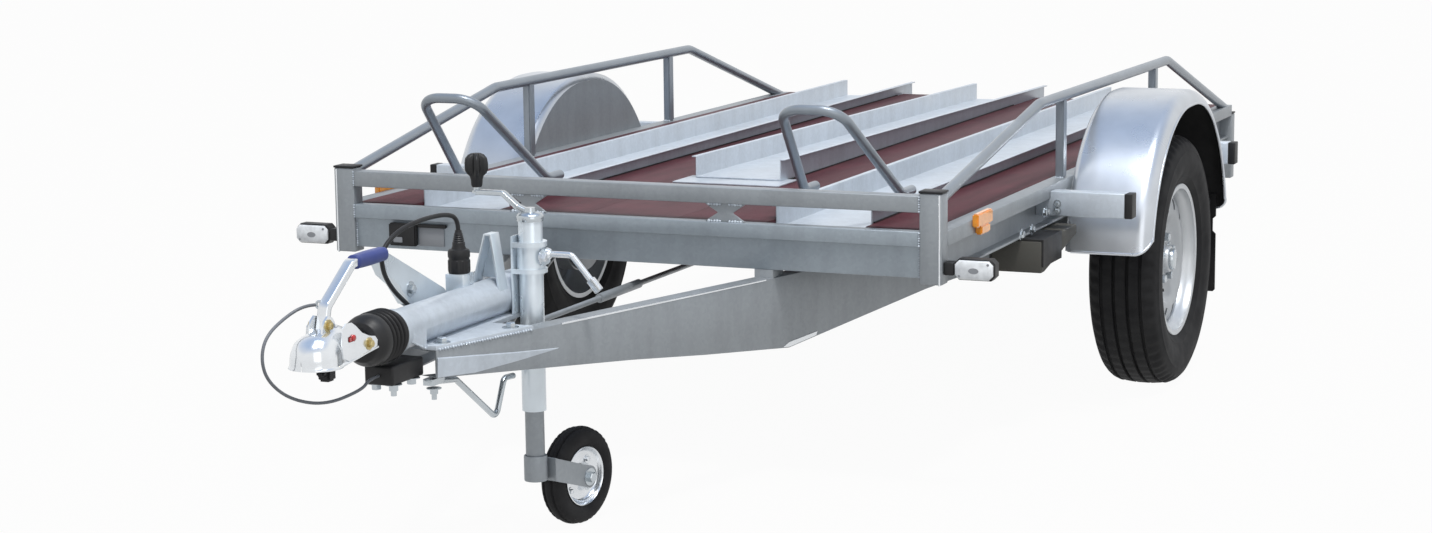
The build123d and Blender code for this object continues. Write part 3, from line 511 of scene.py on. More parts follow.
ELECTRIC = [(PLUG_X, PLUG_Y, 630), (PLUG_X, PLUG_Y, 656), (-24, -744, 670), (-28, -834, 672),
            (-33, -921, 661), (-38, -973, 630), (-42, -960, 588), (-45, -922, 550), (-46, -870, 515),
            (-46, -806, 476), (-46, -766, 458.5)]
SAFETY = [(-16, -1236, 576), (-40, -1236, 574), (-60, -1268, 558), (-66, -1325, 533), (-66, -1344, 496),
          (-64, -1329, 453), (-52, -1276, 411), (-30, -1195, 387), (0, -1118, 402), (0, -1095, 416),
          (0, -1060, 416)]
cable("electric_cable_run", ELECTRIC, 0.009, PLASTIC, "electric_cable")
cable("breakaway_cable_run", SAFETY, 0.006, "cable_sheath", "breakaway_cable")

# Sheet-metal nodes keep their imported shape, with eased edges
EASED = {
    "front_cross_member": 2, "side_members": 1.5, "rear_cross_member": 2, "inner_cross_members": 2,
    "corner_posts": 3, "top_rail": 2.2, "deck_boards": 1, "outer_wheel_channels": 1,
    "centre_wheel_channel": 1, "channel_rest": 1, "outrigger_bars": 2.5, "end_caps": 2, "drawbar_beams": 1.8,
    "overrun_housing": 1.5, "cable_bracket": 1, "front_stop": 4, "lamp_arms": 3, "blank_plates": 0.6,
    "chock_holders": 1, "axle": 1.5, "wheel_chocks": 4, "guide_rod": 1, "brake_rod": 1,
    "jockey_outer_tube": 0.8, "jockey_inner_tube": 0.8,
}
for cad_node, width in EASED.items():
    rounded_copy(cad_node, width)

# Side railings and hoops as smooth tubes
rail_line = path_with_arcs([at(706, 38, 627.6), at(706, 757, 755), at(706, 1965, 755),
                            at(706, 2698.6, 548.3)], 150, 12)
for sign, side in SIDES:
    bm = bmesh.new()
    add_tube(bm, [Vector((sign * p.x, p.y, p.z)) for p in rail_line], 12.5, 24)
    x0, x1 = sorted((sign * 696, sign * 716))
    for y in RAILING_POSTS:
        add_block(bm, at(x0, y - 15, 562), at(x1, y + 15, 750), 3)
    piece("side_railing_" + side, bm, STEEL, ["side_railings"], coat=RAIL)

half_hoop = [(113, 330, 603), (113, 262, 603), (66, 6, 808)]
hoop_line = path_with_arcs([at(*p) for p in half_hoop] + [at(-x, y, z) for x, y, z in reversed(half_hoop)],
                           55, 10)
for sign, side in SIDES:
    bm = bmesh.new()
    add_tube(bm, [p + Vector((sign * CHANNEL_X / 1000, 0, 0)) for p in hoop_line], 11, 24)
    piece("wheel_hoop_" + side, bm, STEEL, ["wheel_hoops"], coat=RAIL)


# Thin black strips in the black rubber material along the channels' feet: painted shadow under the channel
# walls
bm = bmesh.new()
for x, front, rear in ((-CHANNEL_X, 90, 2680), (0, 645, 2500), (CHANNEL_X, 90, 2680)):
    for sign in (-1, 1):
        x0, x1 = sorted((x + sign * 110.4, x + sign * 114))
        add_block(bm, at(x0, front, 561.8), at(x1, rear, 565), 0.8)
piece("channel_foot_shadow_strips", bm, RUBBER, sharp=30)


# Road wheels
def tyre_profile():
    """(radius, along) of a 176 mm tyre, outer side last, with its tread grooves."""
    side = [(182, 60), (190.6, 66.8), (196, 70), (203, 74.5), (207.5, 76.8), (209, 77.8), (212, 77.6),
            (226, 83.5), (240, 87.2), (250, 88), (262, 87.6), (270, 86.4), (272.5, 86.8), (275.2, 85),
            (284, 82.2), (292.5, 78), (299, 72.2)]
    tread = [(303.8, 66), (306.8, 60), (308.4, 55.6)]
    for centre, crown in ((48, 309.6), (16.5, 312.4)):
        tread += [(crown, centre + 4.6), (303, centre + 3.2), (303, centre - 3.2),
                  (crown + 0.4, centre - 4.6)]
    half = side + tread
    return [(r, -z) for r, z in half] + [(r, z) for r, z in reversed(half)]


def road_tyre(name, sign):
    profile = tyre_profile()
    bm = bmesh.new()
    centre = at(sign * WHEEL_X, WHEEL_Y, WHEEL_Z)
    rings = add_lathe(bm, profile, centre, (sign, 0, 0), 240, closed=True)
    # Cross cuts in the shoulder and the ribs between the grooves
    for i, ring in enumerate(rings):
        for (r, z), v in zip(profile, ring):
            cut = 0
            if 298.5 < r < 309 and abs(z) > 53.5:
                cut = 4 if i % 4 in (0, 1) else 0
            elif r > 309 and 20 < abs(z) < 45:
                cut = 2.2 if (i + 2) % 4 == 0 else 0
            elif r > 311 and abs(z) < 13:
                cut = 2 if i % 4 == 0 else 0
            if cut:
                radial = v.co - Vector((v.co.x, centre.y, centre.z))
                v.co -= radial.normalized() * cut / 1000
    piece(name + "_dressed", bm, "tyre_rubber", [name], sharp=32)


def road_rim(name, sign):
    centre, axis, steps = at(sign * WHEEL_X, WHEEL_Y, WHEEL_Z), (sign, 0, 0), 96
    bm = bmesh.new()
    barrel = [(188.8, 69), (190, 67.6), (189.4, 66), (180.4, 64), (179.5, 56), (176, 48), (170, 42), (169, 4),
              (174, -6), (180, -56), (180.4, -66), (189.4, -66), (190, -69), (178, -69), (176.5, -56),
              (170.5, -8), (165.5, 2), (166, 42), (172.5, 50), (176.2, 58), (177.5, 67.6)]
    disc = [(166.2, 30), (164, 33), (159, 37), (150, 41.5), (136, 46), (124, 48), (113, 47.5), (104, 44),
            (95, 37), (87, 32.5), (64, 31), (48, 31), (40, 33), (36.5, 36), (34.5, 40), (33.5, 40.2)]
    add_lathe(bm, barrel, centre, axis, steps, closed=True)
    piece(name + "_barrel", bm, "silver_paint", [name], sharp=40)
    bm = bmesh.new()

    def open_slot(i, j):
        return not (3 <= j <= 4 and i % 8 in (3, 4))

    rings = add_lathe(bm, disc, centre, axis, steps, keep=open_slot)
    back = add_lathe(bm, [(r, z - 3.5) for r, z in disc], centre, axis, steps, keep=open_slot)
    for k in range(0, steps, 8):
        loop = [(k + 3, 3), (k + 4, 3), (k + 5, 3), (k + 5, 4), (k + 5, 5), (k + 4, 5), (k + 3, 5),
                (k + 3, 4)]
        for (i0, j0), (i1, j1) in zip(loop, loop[1:] + loop[:1]):
            p, q = i0 % steps, i1 % steps
            bm.faces.new((rings[p][j0], rings[q][j1], back[q][j1], back[p][j0]))
    # The disc takes a darker copy of the silver paint: painted shade in the recess inside the barrel.
    obj = piece(name + "_disc", bm, "silver_paint", [name], 40, DISC_SHADE_SILVER)
    turned = bmesh.new()
    turned.from_mesh(obj.data)
    bmesh.ops.recalc_face_normals(turned, faces=turned.faces)
    turned.to_mesh(obj.data)
    turned.free()
    # Brake drum behind the disc, hub, grease cap, bolts and valve
    bm = bmesh.new()
    add_lathe(bm, [(0, 26.5), (60, 26.5), (62, -15), (108, -15), (114.5, -20), (114.5, -66), (109, -68),
                   (103, -68), (103, -28), (26, -26), (22.6, -26)],
              centre, axis, 64)
    add_lathe(bm, [(34.5, 29), (33.5, 45), (32, 48), (26.5, 48.5)], centre, axis, 48)
    piece(name + "_drum", bm, "silver_paint", [name], sharp=40)
    bm = bmesh.new()
    add_lathe(bm, [(26.8, 47), (26.6, 56), (24.5, 59.5), (15, 61.5), (0, 62)], centre, axis, 40)
    for k in range(5):
        a = 2 * pi * (k + 0.25) / 5
        add_bolt(bm, centre + Vector((sign * 31, 56 * cos(a), 56 * sin(a))) / 1000, axis, 19, 13)
    piece(name + "_hub_bolts", bm, PLATED, [name], sharp=30)
    bm = bmesh.new()
    a = radians(200)
    stem = centre + Vector((sign * 40, 168 * cos(a), 168 * sin(a))) / 1000
    lean = Vector((sign * 0.93, -0.36 * cos(a), -0.36 * sin(a))).normalized()
    add_lathe(bm, [(7.5, -4), (7.5, 3), (4.8, 6), (4.5, 20), (4, 20.5), (4, 30), (0, 31)], stem, lean, 16)
    piece(name + "_valve", bm, RUBBER, [name])


for sign, side in SIDES:
    road_tyre("tyre_" + side, sign)
    road_rim("rim_" + side, sign)

# Bellows with a smooth front and deep rounded ribs behind
profile = [(23, 0), (35, 0), (37, 1.5), (39, 5), (43, 10), (46.8, 16), (48.2, 23), (48.6, 31), (48, 35)]
ribs, start, length = 4, 38, 52
for k in range(ribs):
    for t, a in enumerate(ring_of(12)):
        profile.append((43.5 - 6.2 * cos(a), start + (k + t / 12) * length / ribs))
profile += [(37.3, 90), (42, 92.5), (45, 95), (45, 98.5), (40, 100), (23, 100)]
bm = bmesh.new()
add_lathe(bm, profile, at(0, -1120, DRAW_AXIS_Z), (0, 1, 0), 72, closed=True)
piece("bellows_dressed", bm, RUBBER, ["bellows"], sharp=50)

# Mudguards: a rounded sheet over the wheel with a rolled lip, a raised inner seam and, under it, a black sheet
# of painted shade
GUARD_Y, GUARD_Z, FOOT, HALF_FLAT = 1325, 338, 389, 24


def guard_line(x, r, sign, steps=22):
    """Points over the wheel at one height above the guard's centre, from the front foot to the rear foot."""
    t = min(1.0, max(0.0, (x - 893) / 37))
    foot = FOOT + 40 * (1 - math.sqrt(1 - t * t * 0.999))
    low = math.asin((foot - GUARD_Z) / r)
    out = []
    for k in range(steps + 1):
        a = low + (pi / 2 - low) * k / steps
        out.append((GUARD_Y - HALF_FLAT - r * cos(a), GUARD_Z + r * sin(a)))
    out += [(2 * GUARD_Y - y, z) for y, z in reversed(out)]
    return [at(sign * x, y, z) for y, z in out]


def guard_section(drop):
    """(x, height) over the guard's width, from the inner panel to the outer edge."""
    corner = []
    for a in range(0, 91, 9):
        c, w = cos(radians(a)), sin(radians(a))
        corner.append((896 + 34 * w - drop * w, 366 + (34 - drop) * c))
    flat = [(x, 400 - drop) for x in (741, 790, 850)]
    return [(723.4 + drop, 381), (725 + drop, 384 - drop), (735 + drop / 2, 398.6 - drop)] + flat + corner


for sign, side in SIDES:
    # The black sheet 2.2 mm inside the skin is painted shade under the guard.
    for part, drop, slot, coat in (("skin", 0, STEEL, SHEET), ("shade_sheet", 2.2, RUBBER, GUARD_SHADE_SHEET)):
        bm = bmesh.new()
        rows = [[bm.verts.new(p) for p in guard_line(x, r, sign)] for x, r in guard_section(drop)]
        for p, q in zip(rows, rows[1:]):
            for k in range(len(p) - 1):
                bm.faces.new((p[k], p[k + 1], q[k + 1], q[k]))
        piece(f"mudguard_{part}_{side}", bm, slot, ["mudguards"], 60, coat)
    bm = bmesh.new()
    edge = [(r, x) for x, r in guard_section(1.2)[3:]]
    foot = [guard_line(x, r, sign, 1)[0] + Vector((0, 0, 0.001)) for r, x in edge]
    over = guard_line(edge[-1][1], edge[-1][0], sign, 30)
    back = [Vector((p.x, 2 * at(0, GUARD_Y, 0).y - p.y, p.z)) for p in reversed(foot)]
    add_tube(bm, foot[:-1] + over + back[1:], 3.6, 10)
    piece("mudguard_lip_" + side, bm, STEEL, ["mudguards"], 60, SHEET)
    # Inner panel with its cut over the axle
    inner_x = sign * (HALF_WIDTH + 0.2)
    panel = [Vector((inner_x / 1000, p.y, p.z)) for p in guard_line(724, 383, 1)]
    cut = [at(inner_x, GUARD_Y + dy, z) for dy, z in ((330, FOOT), (330, 515), (-330, 515), (-330, FOOT))]
    bm = bmesh.new()
    add_plate(bm, panel + cut, (sign, 0, 0), 1.8)
    piece("mudguard_panel_" + side, bm, STEEL, ["mudguards"], 30)
    # A black sheet on the panel's wheel side is painted shade inside the guard.
    bm = bmesh.new()
    add_plate(bm, [p + Vector((sign * 0.0019, 0, 0)) for p in panel + cut], (sign, 0, 0), 0.5)
    piece("mudguard_panel_lining_" + side, bm, RUBBER, ["mudguards"], 30, GUARD_SHADE_SHEET)

# Mudflaps hang inside the rear foot of each guard
for sign, side in SIDES:
    bm = bmesh.new()
    outline = [(728, 172), (731, 169), (894, 169), (899, 174), (899, 322), (891, 330), (891, 362), (899, 369),
               (899, 428), (731, 428), (728, 425)]
    add_plate(bm, [at(sign * x, 1733, z) for x, z in outline], (0, 1, 0), 5)
    for z in (205, 245, 285):
        add_block(bm, at(sign * 815 - 68, 1732, z - 1.5), at(sign * 815 + 68, 1733.2, z + 1.5))
    piece("mudflap_" + side, bm, RUBBER, ["mudflaps"], 30)
    bm = bmesh.new()
    for x in (755, 815, 872):
        add_bolt(bm, at(sign * x, 1733, 408), (0, -1, 0), 13, 6)
    piece("mudflap_bolts_" + side, bm, PLATED, sharp=30)

# Coupling head: a pressed dome and body with a turned-out skirt
HEAD = (
    (-1320.4, 3, 494, 474), (-1318, 14, 502, 474), (-1312, 25.5, 513, 474), (-1303, 34.5, 522, 473.5),
    (-1291, 40.5, 528.5, 473), (-1278, 42.6, 531.5, 472.5), (-1266, 41.8, 533, 471.5), (-1254, 39, 537, 471),
    (-1240, 36, 541, 472), (-1222, 34.8, 542, 473.5), (-1204, 34.4, 536, 475), (-1184, 34.2, 527, 477),
    (-1164, 34.2, 518, 479.5), (-1146, 34.4, 511, 481.5), (-1130, 34.6, 506, 483), (-1120, 34.6, 503, 484),
)
bm = bmesh.new()
rings = []
for y, half, top, low in HEAD:
    lip = min(3.5, half * 0.3)
    ring = [(half + lip, low - 1.5), (half + lip, low + 1.2), (half + 0.6, low + 3)]
    for k in range(21):
        a = pi * k / 20
        c, w = cos(a), sin(a)
        ring.append((half * copysign(abs(c) ** 0.82, c), low + 5 + (top - low - 5) * w ** 0.80))
    ring += [(-half - 0.6, low + 3), (-half - lip, low + 1.2), (-half - lip, low - 1.5)]
    inner = [(-(half - 2.4) * 0.96, low - 1.5)]
    for k in range(11):
        a = pi * (1 - k / 10)
        c, w = cos(a), sin(a)
        inner.append(((half - 2.6) * 0.96 * copysign(abs(c) ** 0.82, c),
                      low + 4 + (top - low - 8) * w ** 0.8))
    inner.append(((half - 2.4) * 0.96, low - 1.5))
    rings.append([bm.verts.new(at(x, y, z)) for x, z in ring + inner])
join_rings(bm, rings)
piece("coupling_head_shell", bm, PLATED, ["coupling_head"], 50, POLISHED)
bm = bmesh.new()
add_lathe(bm, [(0, 0), (26.8, 0), (26.8, 20), (26.5, 34), (0, 34)], at(0, -1278, 478), UP, 40)
add_lathe(bm, [(22.2, 0), (22.2, 140)], at(0, -1142, DRAW_AXIS_Z), (0, 1, 0), 40)
add_block(bm, at(-12, -1250, 441), at(12, -1224, 476), 4)
add_block(bm, at(-8, -1262, 452), at(8, -1246, 462), 3)
piece("coupling_socket", bm, PLASTIC, ["coupling_head"], 40)
bm = bmesh.new()
cheek = ((-1240, 484), (-1222, 476), (-1170, 479), (-1136, 481), (-1124, 487), (-1122, 497), (-1130, 505),
         (-1150, 509), (-1175, 519), (-1196, 535), (-1210, 543), (-1228, 544), (-1240, 537), (-1245, 510))
for sign in (1, -1):
    add_plate(bm, [at(sign * 35, y, z) for y, z in cheek], (sign, 0, 0), 2.2)
piece("coupling_cheeks", bm, PLATED, ["coupling_head"], 30, POLISHED)
bm = bmesh.new()
for sign in (1, -1):
    add_bolt(bm, at(sign * 37.2, -1152, 495), (sign, 0, 0), 12, 7)
    add_bolt(bm, at(sign * 15.5, -1252, 543), (sign, 0, 0), 12, 6)
piece("coupling_bolts", bm, PLATED, ["coupling_head"], 30, BRASS)
bm = bmesh.new()
add_lathe(bm, [(6, 0), (6, 3), (4.5, 4.2), (0, 4.4)], at(37.2, -1207, 515), (1, 0, 0), 20)
add_block(bm, at(37.2, -1222, 509), at(39.2, -1208, 519), 1.2)
piece("wear_indicator", bm, "red_lens", ["coupling_head"], 40)

# Coupling handle: eased bar on two cheeks, its blue grip and the shackle of the breakaway cable
handle_line = path_with_arcs([at(0, -1250, 526), at(0, -1236, 574), at(0, -1146, 637), at(0, -1036, 637.5)],
                             18, 6)
bm = bmesh.new()
add_sweep(bm, handle_line, eased_rectangle(10.5, 7.8, 3), (1, 0, 0))
cheek = ((-1272, 524), (-1228, 534), (-1230, 546), (-1238, 556), (-1252, 560), (-1264, 552), (-1271, 540))
for sign in (1, -1):
    add_plate(bm, [at(sign * 11.5, y, z) for y, z in cheek], (sign, 0, 0), 4)
piece("coupling_handle_bar", bm, PLATED, ["coupling_handle"], 40, POLISHED)
bm = bmesh.new()
add_tube(bm, path_with_arcs([at(-6, -1236, 570), at(-17, -1236, 570), at(-17, -1236, 582),
                             at(-6, -1236, 582)], 5, 6), 2.5, 8)
piece("handle_shackle", bm, PLATED, ["coupling_handle"], 40)
start, end = at(0, -1136, 637), at(0, -1031, 637.5)
shape = ((0, 0.80), (0.015, 0.95), (0.05, 1), (0.10, 0.96), (0.16, 1), (0.45, 1.04), (0.80, 1), (0.88, 0.96),
         (0.94, 1), (0.985, 0.94), (1, 0.78))
bm = bmesh.new()
rings = []
across = Vector((1, 0, 0))
tilt_up = (end - start).normalized().cross(across)
for t, k in shape:
    rings.append([bm.verts.new(start.lerp(end, t) + (across * u + tilt_up * v) * k / 1000)
                  for u, v in eased_rectangle(13.8, 12.8, 10, 5)])
join_rings(bm, rings)
piece("coupling_grip_moulded", bm, "blue_plastic", ["coupling_grip"], 50)

# Hand brake lever: folded sheet, a wedge with a turned edge and a rod clevis
LEVER = ((-950, 628), (-946, 606), (-930, 580), (-892, 556), (-850, 512), (-806, 490), (-735, 455),
         (-705, 455), (-703, 505), (-720, 520))
bm = bmesh.new()
for sign in (1, -1):
    add_plate(bm, [at(LEVER_X + sign * 12, y, z) for y, z in LEVER], (sign, 0, 0), 2)
top = [at(LEVER_X, y, z) for y, z in ((-951, 620), (-947, 628.5), (-938, 624), (-720, 520), (-705, 505))]
add_sweep(bm, top, [(13.8, -1), (13.8, 1.2), (-13.8, 1.2), (-13.8, -1)], (1, 0, 0))
under = [at(LEVER_X, y, z) for y, z in ((-949, 606), (-930, 579), (-892, 555), (-850, 511))]
add_sweep(bm, under, [(13.8, -1), (13.8, 1), (-13.8, 1), (-13.8, -1)], (1, 0, 0))
piece("handbrake_lever_folded", bm, STEEL, ["handbrake_lever"], 30, TUBE)
bm = bmesh.new()
for y, z in ((-850, 540), (-735, 480)):
    for sign in (1, -1):
        add_bolt(bm, at(LEVER_X + sign * 14, y, z), (sign, 0, 0), 16, 8)
piece("handbrake_pins", bm, PLATED, ["handbrake_lever"], 30)

# Jockey wheel: crank with star knob, tyre, dished rim, fork of bent strip
bm = bmesh.new()
add_lathe(bm, [(0, -4), (26.2, -4), (26.8, 0), (26.8, 6), (23.5, 10.5), (12, 13.5), (10.5, 22), (0, 22)],
          at(JOCKEY_X, JOCKEY_Y, 642), UP, 40)
arm = [at(x, JOCKEY_Y, z) for x, z in ((JOCKEY_X, 654), (42, 664), (10, 690), (CRANK_X, 690))]
add_sweep(bm, path_with_arcs(arm, 10, 6), eased_rectangle(8.5, 5.2, 2.5), (0, 1, 0))
add_lathe(bm, [(0, 0), (9.5, 0), (9.5, 4), (6.2, 5), (6.2, 28), (0, 28)], at(CRANK_X, JOCKEY_Y, 688), UP, 24)
piece("jockey_crank_bent", bm, PLATED, ["jockey_crank"], 40)
bm = bmesh.new()
knob = [(0, 10), (10, 10), (11.8, 14), (12.5, 24), (15, 32), (22.5, 38), (25.8, 44), (26.2, 56), (24.5, 66),
        (18, 73), (10, 76.5), (0, 77.5)]


def knob_share(i, r, z):
    return 1 - (0.40 if r > 16 else 0.06) * (0.5 - 0.5 * cos(pi * i / 5))


add_fluted(bm, knob, at(CRANK_X, JOCKEY_Y, 690), 60, knob_share)
piece("crank_star_knob", bm, PLASTIC, ["crank_grip"], 45)

yaw = radians(11.3)
trail = Vector((sin(yaw), cos(yaw), 0))
axle = Vector((cos(yaw), -sin(yaw), 0))
stem = at(JOCKEY_X, JOCKEY_Y, 0)
hub = stem + (trail * 134 + UP * 100) / 1000
half = [(60.5, 18.5), (64, 20), (70, 22.2), (78, 23), (86, 22.4), (92, 20), (95.8, 16.8), (97.6, 12.8),
        (95, 11.2), (95, 8.4), (98.6, 6.6), (99.9, 2)]
profile = [(r, -z) for r, z in half] + [(r, z) for r, z in reversed(half)]
bm = bmesh.new()
rings = add_lathe(bm, profile, hub, axle, 120, closed=True)
for i, ring in enumerate(rings):
    for (r, z), v in zip(profile, ring):
        if r > 92 and abs(z) > 12 and i % 3 == 0:
            v.co += (hub - v.co).normalized() * 1.2 / 1000
piece("jockey_tyre_grooved", bm, "tyre_rubber", ["jockey_tyre"], 35)
half = [(60, 19), (60.6, 21.2), (59.2, 22.2), (57.5, 20.5), (56, 15), (52, 8), (46, 4.8), (36, 4), (28, 5.5),
        (21, 10), (17.5, 14), (16.5, 21.5), (15, 22.8), (8.5, 22.8)]
bm = bmesh.new()
add_lathe(bm, half + [(r, -z) for r, z in reversed(half)], hub, axle, 80, closed=True)
for k in range(4):
    a = pi / 4 + pi / 2 * k
    for sign in (1, -1):
        spot = (trail * cos(a) + UP * sin(a)) * 40 + axle * sign * 4
        add_bolt(bm, hub + spot / 1000, axle * sign, 9, 4)
piece("jockey_rim_dished", bm, PLATED, ["jockey_rim"], 40, POLISHED)
bm = bmesh.new()
for sign in (1, -1):
    outline = [(23.5, 113), (23.5, 160)]
    outline += [(134 + 23 * sin(radians(a)), 100 + 23 * cos(radians(a))) for a in range(0, 181, 12)]
    add_plate(bm, [stem + (trail * t + UP * z + axle * sign * 28.5) / 1000 for t, z in outline], axle * sign,
              4)
web = [stem + (trail * 24.5 + axle * w + UP * 136.5) / 1000 for w in (-32.2, 0, 32.2)]
add_sweep(bm, web, eased_rectangle(2, 23.5, 0.8, 1), trail)
add_lathe(bm, [(19.6, 117), (22.8, 117), (23.3, 119), (23.3, 166), (22.2, 168), (19.6, 168)], stem, UP, 48,
          closed=True)
add_lathe(bm, [(0, 119), (19.5, 119)], stem, UP, 24)
piece("jockey_fork_strip", bm, STEEL, ["jockey_fork"], 35)
bm = bmesh.new()
for sign in (1, -1):
    add_bolt(bm, hub + axle * sign * 32.5 / 1000, axle * sign, 19, 9)
add_lathe(bm, [(6.8, -28), (6.8, 28)], hub, axle, 20)
piece("jockey_axle_bolt", bm, PLATED, ["jockey_fork"], 30)

# Jockey clamp: side plate, two collars, a jaw between them and the clamping rod
bm = bmesh.new()
add_block(bm, at(38.4, -606, 454.4), at(43, -546, 610), 1.2)
for low, high in ((588, 598), (536, 545)):
    arcs = [[(JOCKEY_X + r * cos(a), JOCKEY_Y + r * sin(a)) for a in (radians(d) for d in range(-90, 91, 10))]
            for r in (32.5, 24.4)]
    outline = [(43, -608.5)] + arcs[0] + [(43, -543.5), (43, -551.6)] + arcs[1][::-1] + [(43, -600.4)]
    add_plate(bm, [at(x, y, low) for x, y in outline], UP, high - low)
add_lathe(bm, [(24.3, 0), (28.5, 0), (28.5, 43), (24.3, 43)], at(JOCKEY_X, JOCKEY_Y, 545), UP, 48,
          closed=True)
add_block(bm, at(94, -592, 552), at(104, -560, 584), 3)
piece("jockey_clamp_collars", bm, STEEL, ["jockey_clamp"], 30, TUBE)
bm = bmesh.new()
rod = path_with_arcs([at(x, JOCKEY_Y, z) for x, z in ((100, 574), (157, 574), (214, 508))], 14, 6)
add_tube(bm, rod, 6.2, 16)
end = (rod[-1] - rod[-2]).normalized()
add_sweep(bm, [rod[-1] + end * d / 1000 for d in (-26, -20, 0, 2)], eased_rectangle(6.8, 8.5, 3), (0, 1, 0))
add_bolt(bm, at(98, -590, 568), (1, 0, 0), 14, 10)
add_lathe(bm, [(0, 0), (11, 0), (11, 6), (8, 10), (0, 10)], at(103, JOCKEY_Y, 574), (1, 0, 0), 24)
piece("jockey_clamp_rod", bm, STEEL, ["jockey_clamp"], 35, POLISHED)

# Plug with its grooves, collar and bend relief
bm = bmesh.new()
body = [(0, 550), (19.5, 550), (21.2, 552), (21.8, 556), (21.8, 575), (20.2, 577), (20.2, 580), (21.6, 582),
        (21.6, 592), (19.5, 596), (14.5, 598), (12.5, 603), (12.2, 610), (10.6, 612), (11.6, 614), (9.6, 616),
        (10.6, 618), (8.8, 620), (9.8, 622), (8, 624), (8.8, 626), (7, 629), (6.2, 634), (0, 634)]
add_fluted(bm, body, at(PLUG_X, PLUG_Y, 0), 72, lambda i, r, z: 0.955 if i % 6 < 2 and 553 < z < 576 else 1)
piece("plug_moulded", bm, PLASTIC, ["plug"], 35)


# Front lamps: black case, clear lens with cut corners and a small bulb holder behind it
def cut_corner_box(bm, low, high, corner, ease):
    (x0, y0, z0), (x1, y1, z1) = low, high
    ring = [(x0 + corner, z0), (x1 - corner, z0), (x1, z0 + corner), (x1, z1 - corner), (x1 - corner, z1),
            (x0 + corner, z1), (x0, z1 - corner), (x0, z0 + corner)]
    cx, cz = (x0 + x1) / 2, (z0 + z1) / 2
    rings = []
    for y, k in ((y0, ease), (y0 + ease / 2, ease / 3), (y0 + ease, 0), (y1 - ease, 0), (y1, ease)):
        rings.append([bm.verts.new(at(x - copysign(k, x - cx), y, z - copysign(k, z - cz)))
                      for x, z in ring])
    join_rings(bm, rings)


for sign, side in SIDES:
    x0, x1 = sorted((sign * 746.5, sign * 833.5))
    bm = bmesh.new()
    cut_corner_box(bm, (x0, 12, 464.5), (x1, 41.5, 509.5), 9, 2.5)
    neck = sorted((sign * 738, sign * 747.5))
    add_block(bm, at(neck[0], 16, 474), at(neck[1], 34, 500), 2)
    piece("front_lamp_case_" + side, bm, PLASTIC, ["front_lamps"], 30)
    bm = bmesh.new()
    cut_corner_box(bm, (x0 + 2.5, 2.2, 467), (x1 - 2.5, 12, 507), 9, 3.5)
    piece("front_lamp_lens_" + side, bm, "lamp_lens", ["front_lamps"], 30)
    bm = bmesh.new()
    middle = at((x0 + x1) / 2, 2.4, 486)
    rings = [[bm.verts.new(middle + Vector((11 * k * cos(a), d, 6 * k * sin(a))) / 1000) for a in ring_of(24)]
             for d, k in ((1, 1.1), (-0.4, 1))]
    join_rings(bm, rings)
    for dx, dz in ((-31, -13), (31, 13)):
        add_lathe(bm, [(0, 1.2), (2.8, 1.2), (2.8, 0)], at((x0 + x1) / 2 + dx, 3.2, 487 + dz), (0, -1, 0), 12)
    piece("front_lamp_bulb_" + side, bm, "plate_grey", ["front_lamps"], 30)
    # Side marker: amber block with a stepped lower half
    bm = bmesh.new()
    x0, x1 = sorted((sign * (HALF_WIDTH + 0.2), sign * 737.5))
    add_block(bm, at(x0, 200.5, 545), at(x1, 304.5, 574.5), 3)
    x0, x1 = sorted((sign * (HALF_WIDTH + 0.2), sign * 739))
    add_block(bm, at(x0, 222, 527.5), at(x1, 282, 547), 3)
    piece("side_marker_" + side, bm, "orange_lens", ["side_markers"], 30)
    # Rear lamp: case with red, amber and clear fields
    bm = bmesh.new()
    x0, x1 = sorted((sign * 584, sign * 710.5))
    add_block(bm, at(x0, 2740.2, 390.5), at(x1, 2772, 499.5), 4)
    piece("rear_lamp_case_" + side, bm, PLASTIC, ["rear_lamps"], 30)
    width = (x1 - x0) / 3
    for k, slot in enumerate(("red_lens", "orange_lens", "lamp_lens")[::sign]):
        bm = bmesh.new()
        add_block(bm, at(x0 + 3 + k * width, 2770, 394), at(x0 + (k + 1) * width - 1, 2784.5, 496), 5)
        piece(f"rear_lamp_lens_{side}_{k}", bm, slot, ["rear_lamps"], 30)


# Pressed facets at the beams' tips, and thin polished strips and a small plate that are painted highlights on
# edges of the beams and the front posts
slant = math.atan(BEAM_SLOPE)


def on_beam(sign, y, z, out):
    """A point on a beam's outer face, or a little out of it."""
    x = BEAM_X + BEAM_SLOPE * (y - BEAM_FRONT) + out * cos(slant)
    return at(sign * x, y - out * sin(slant), z)


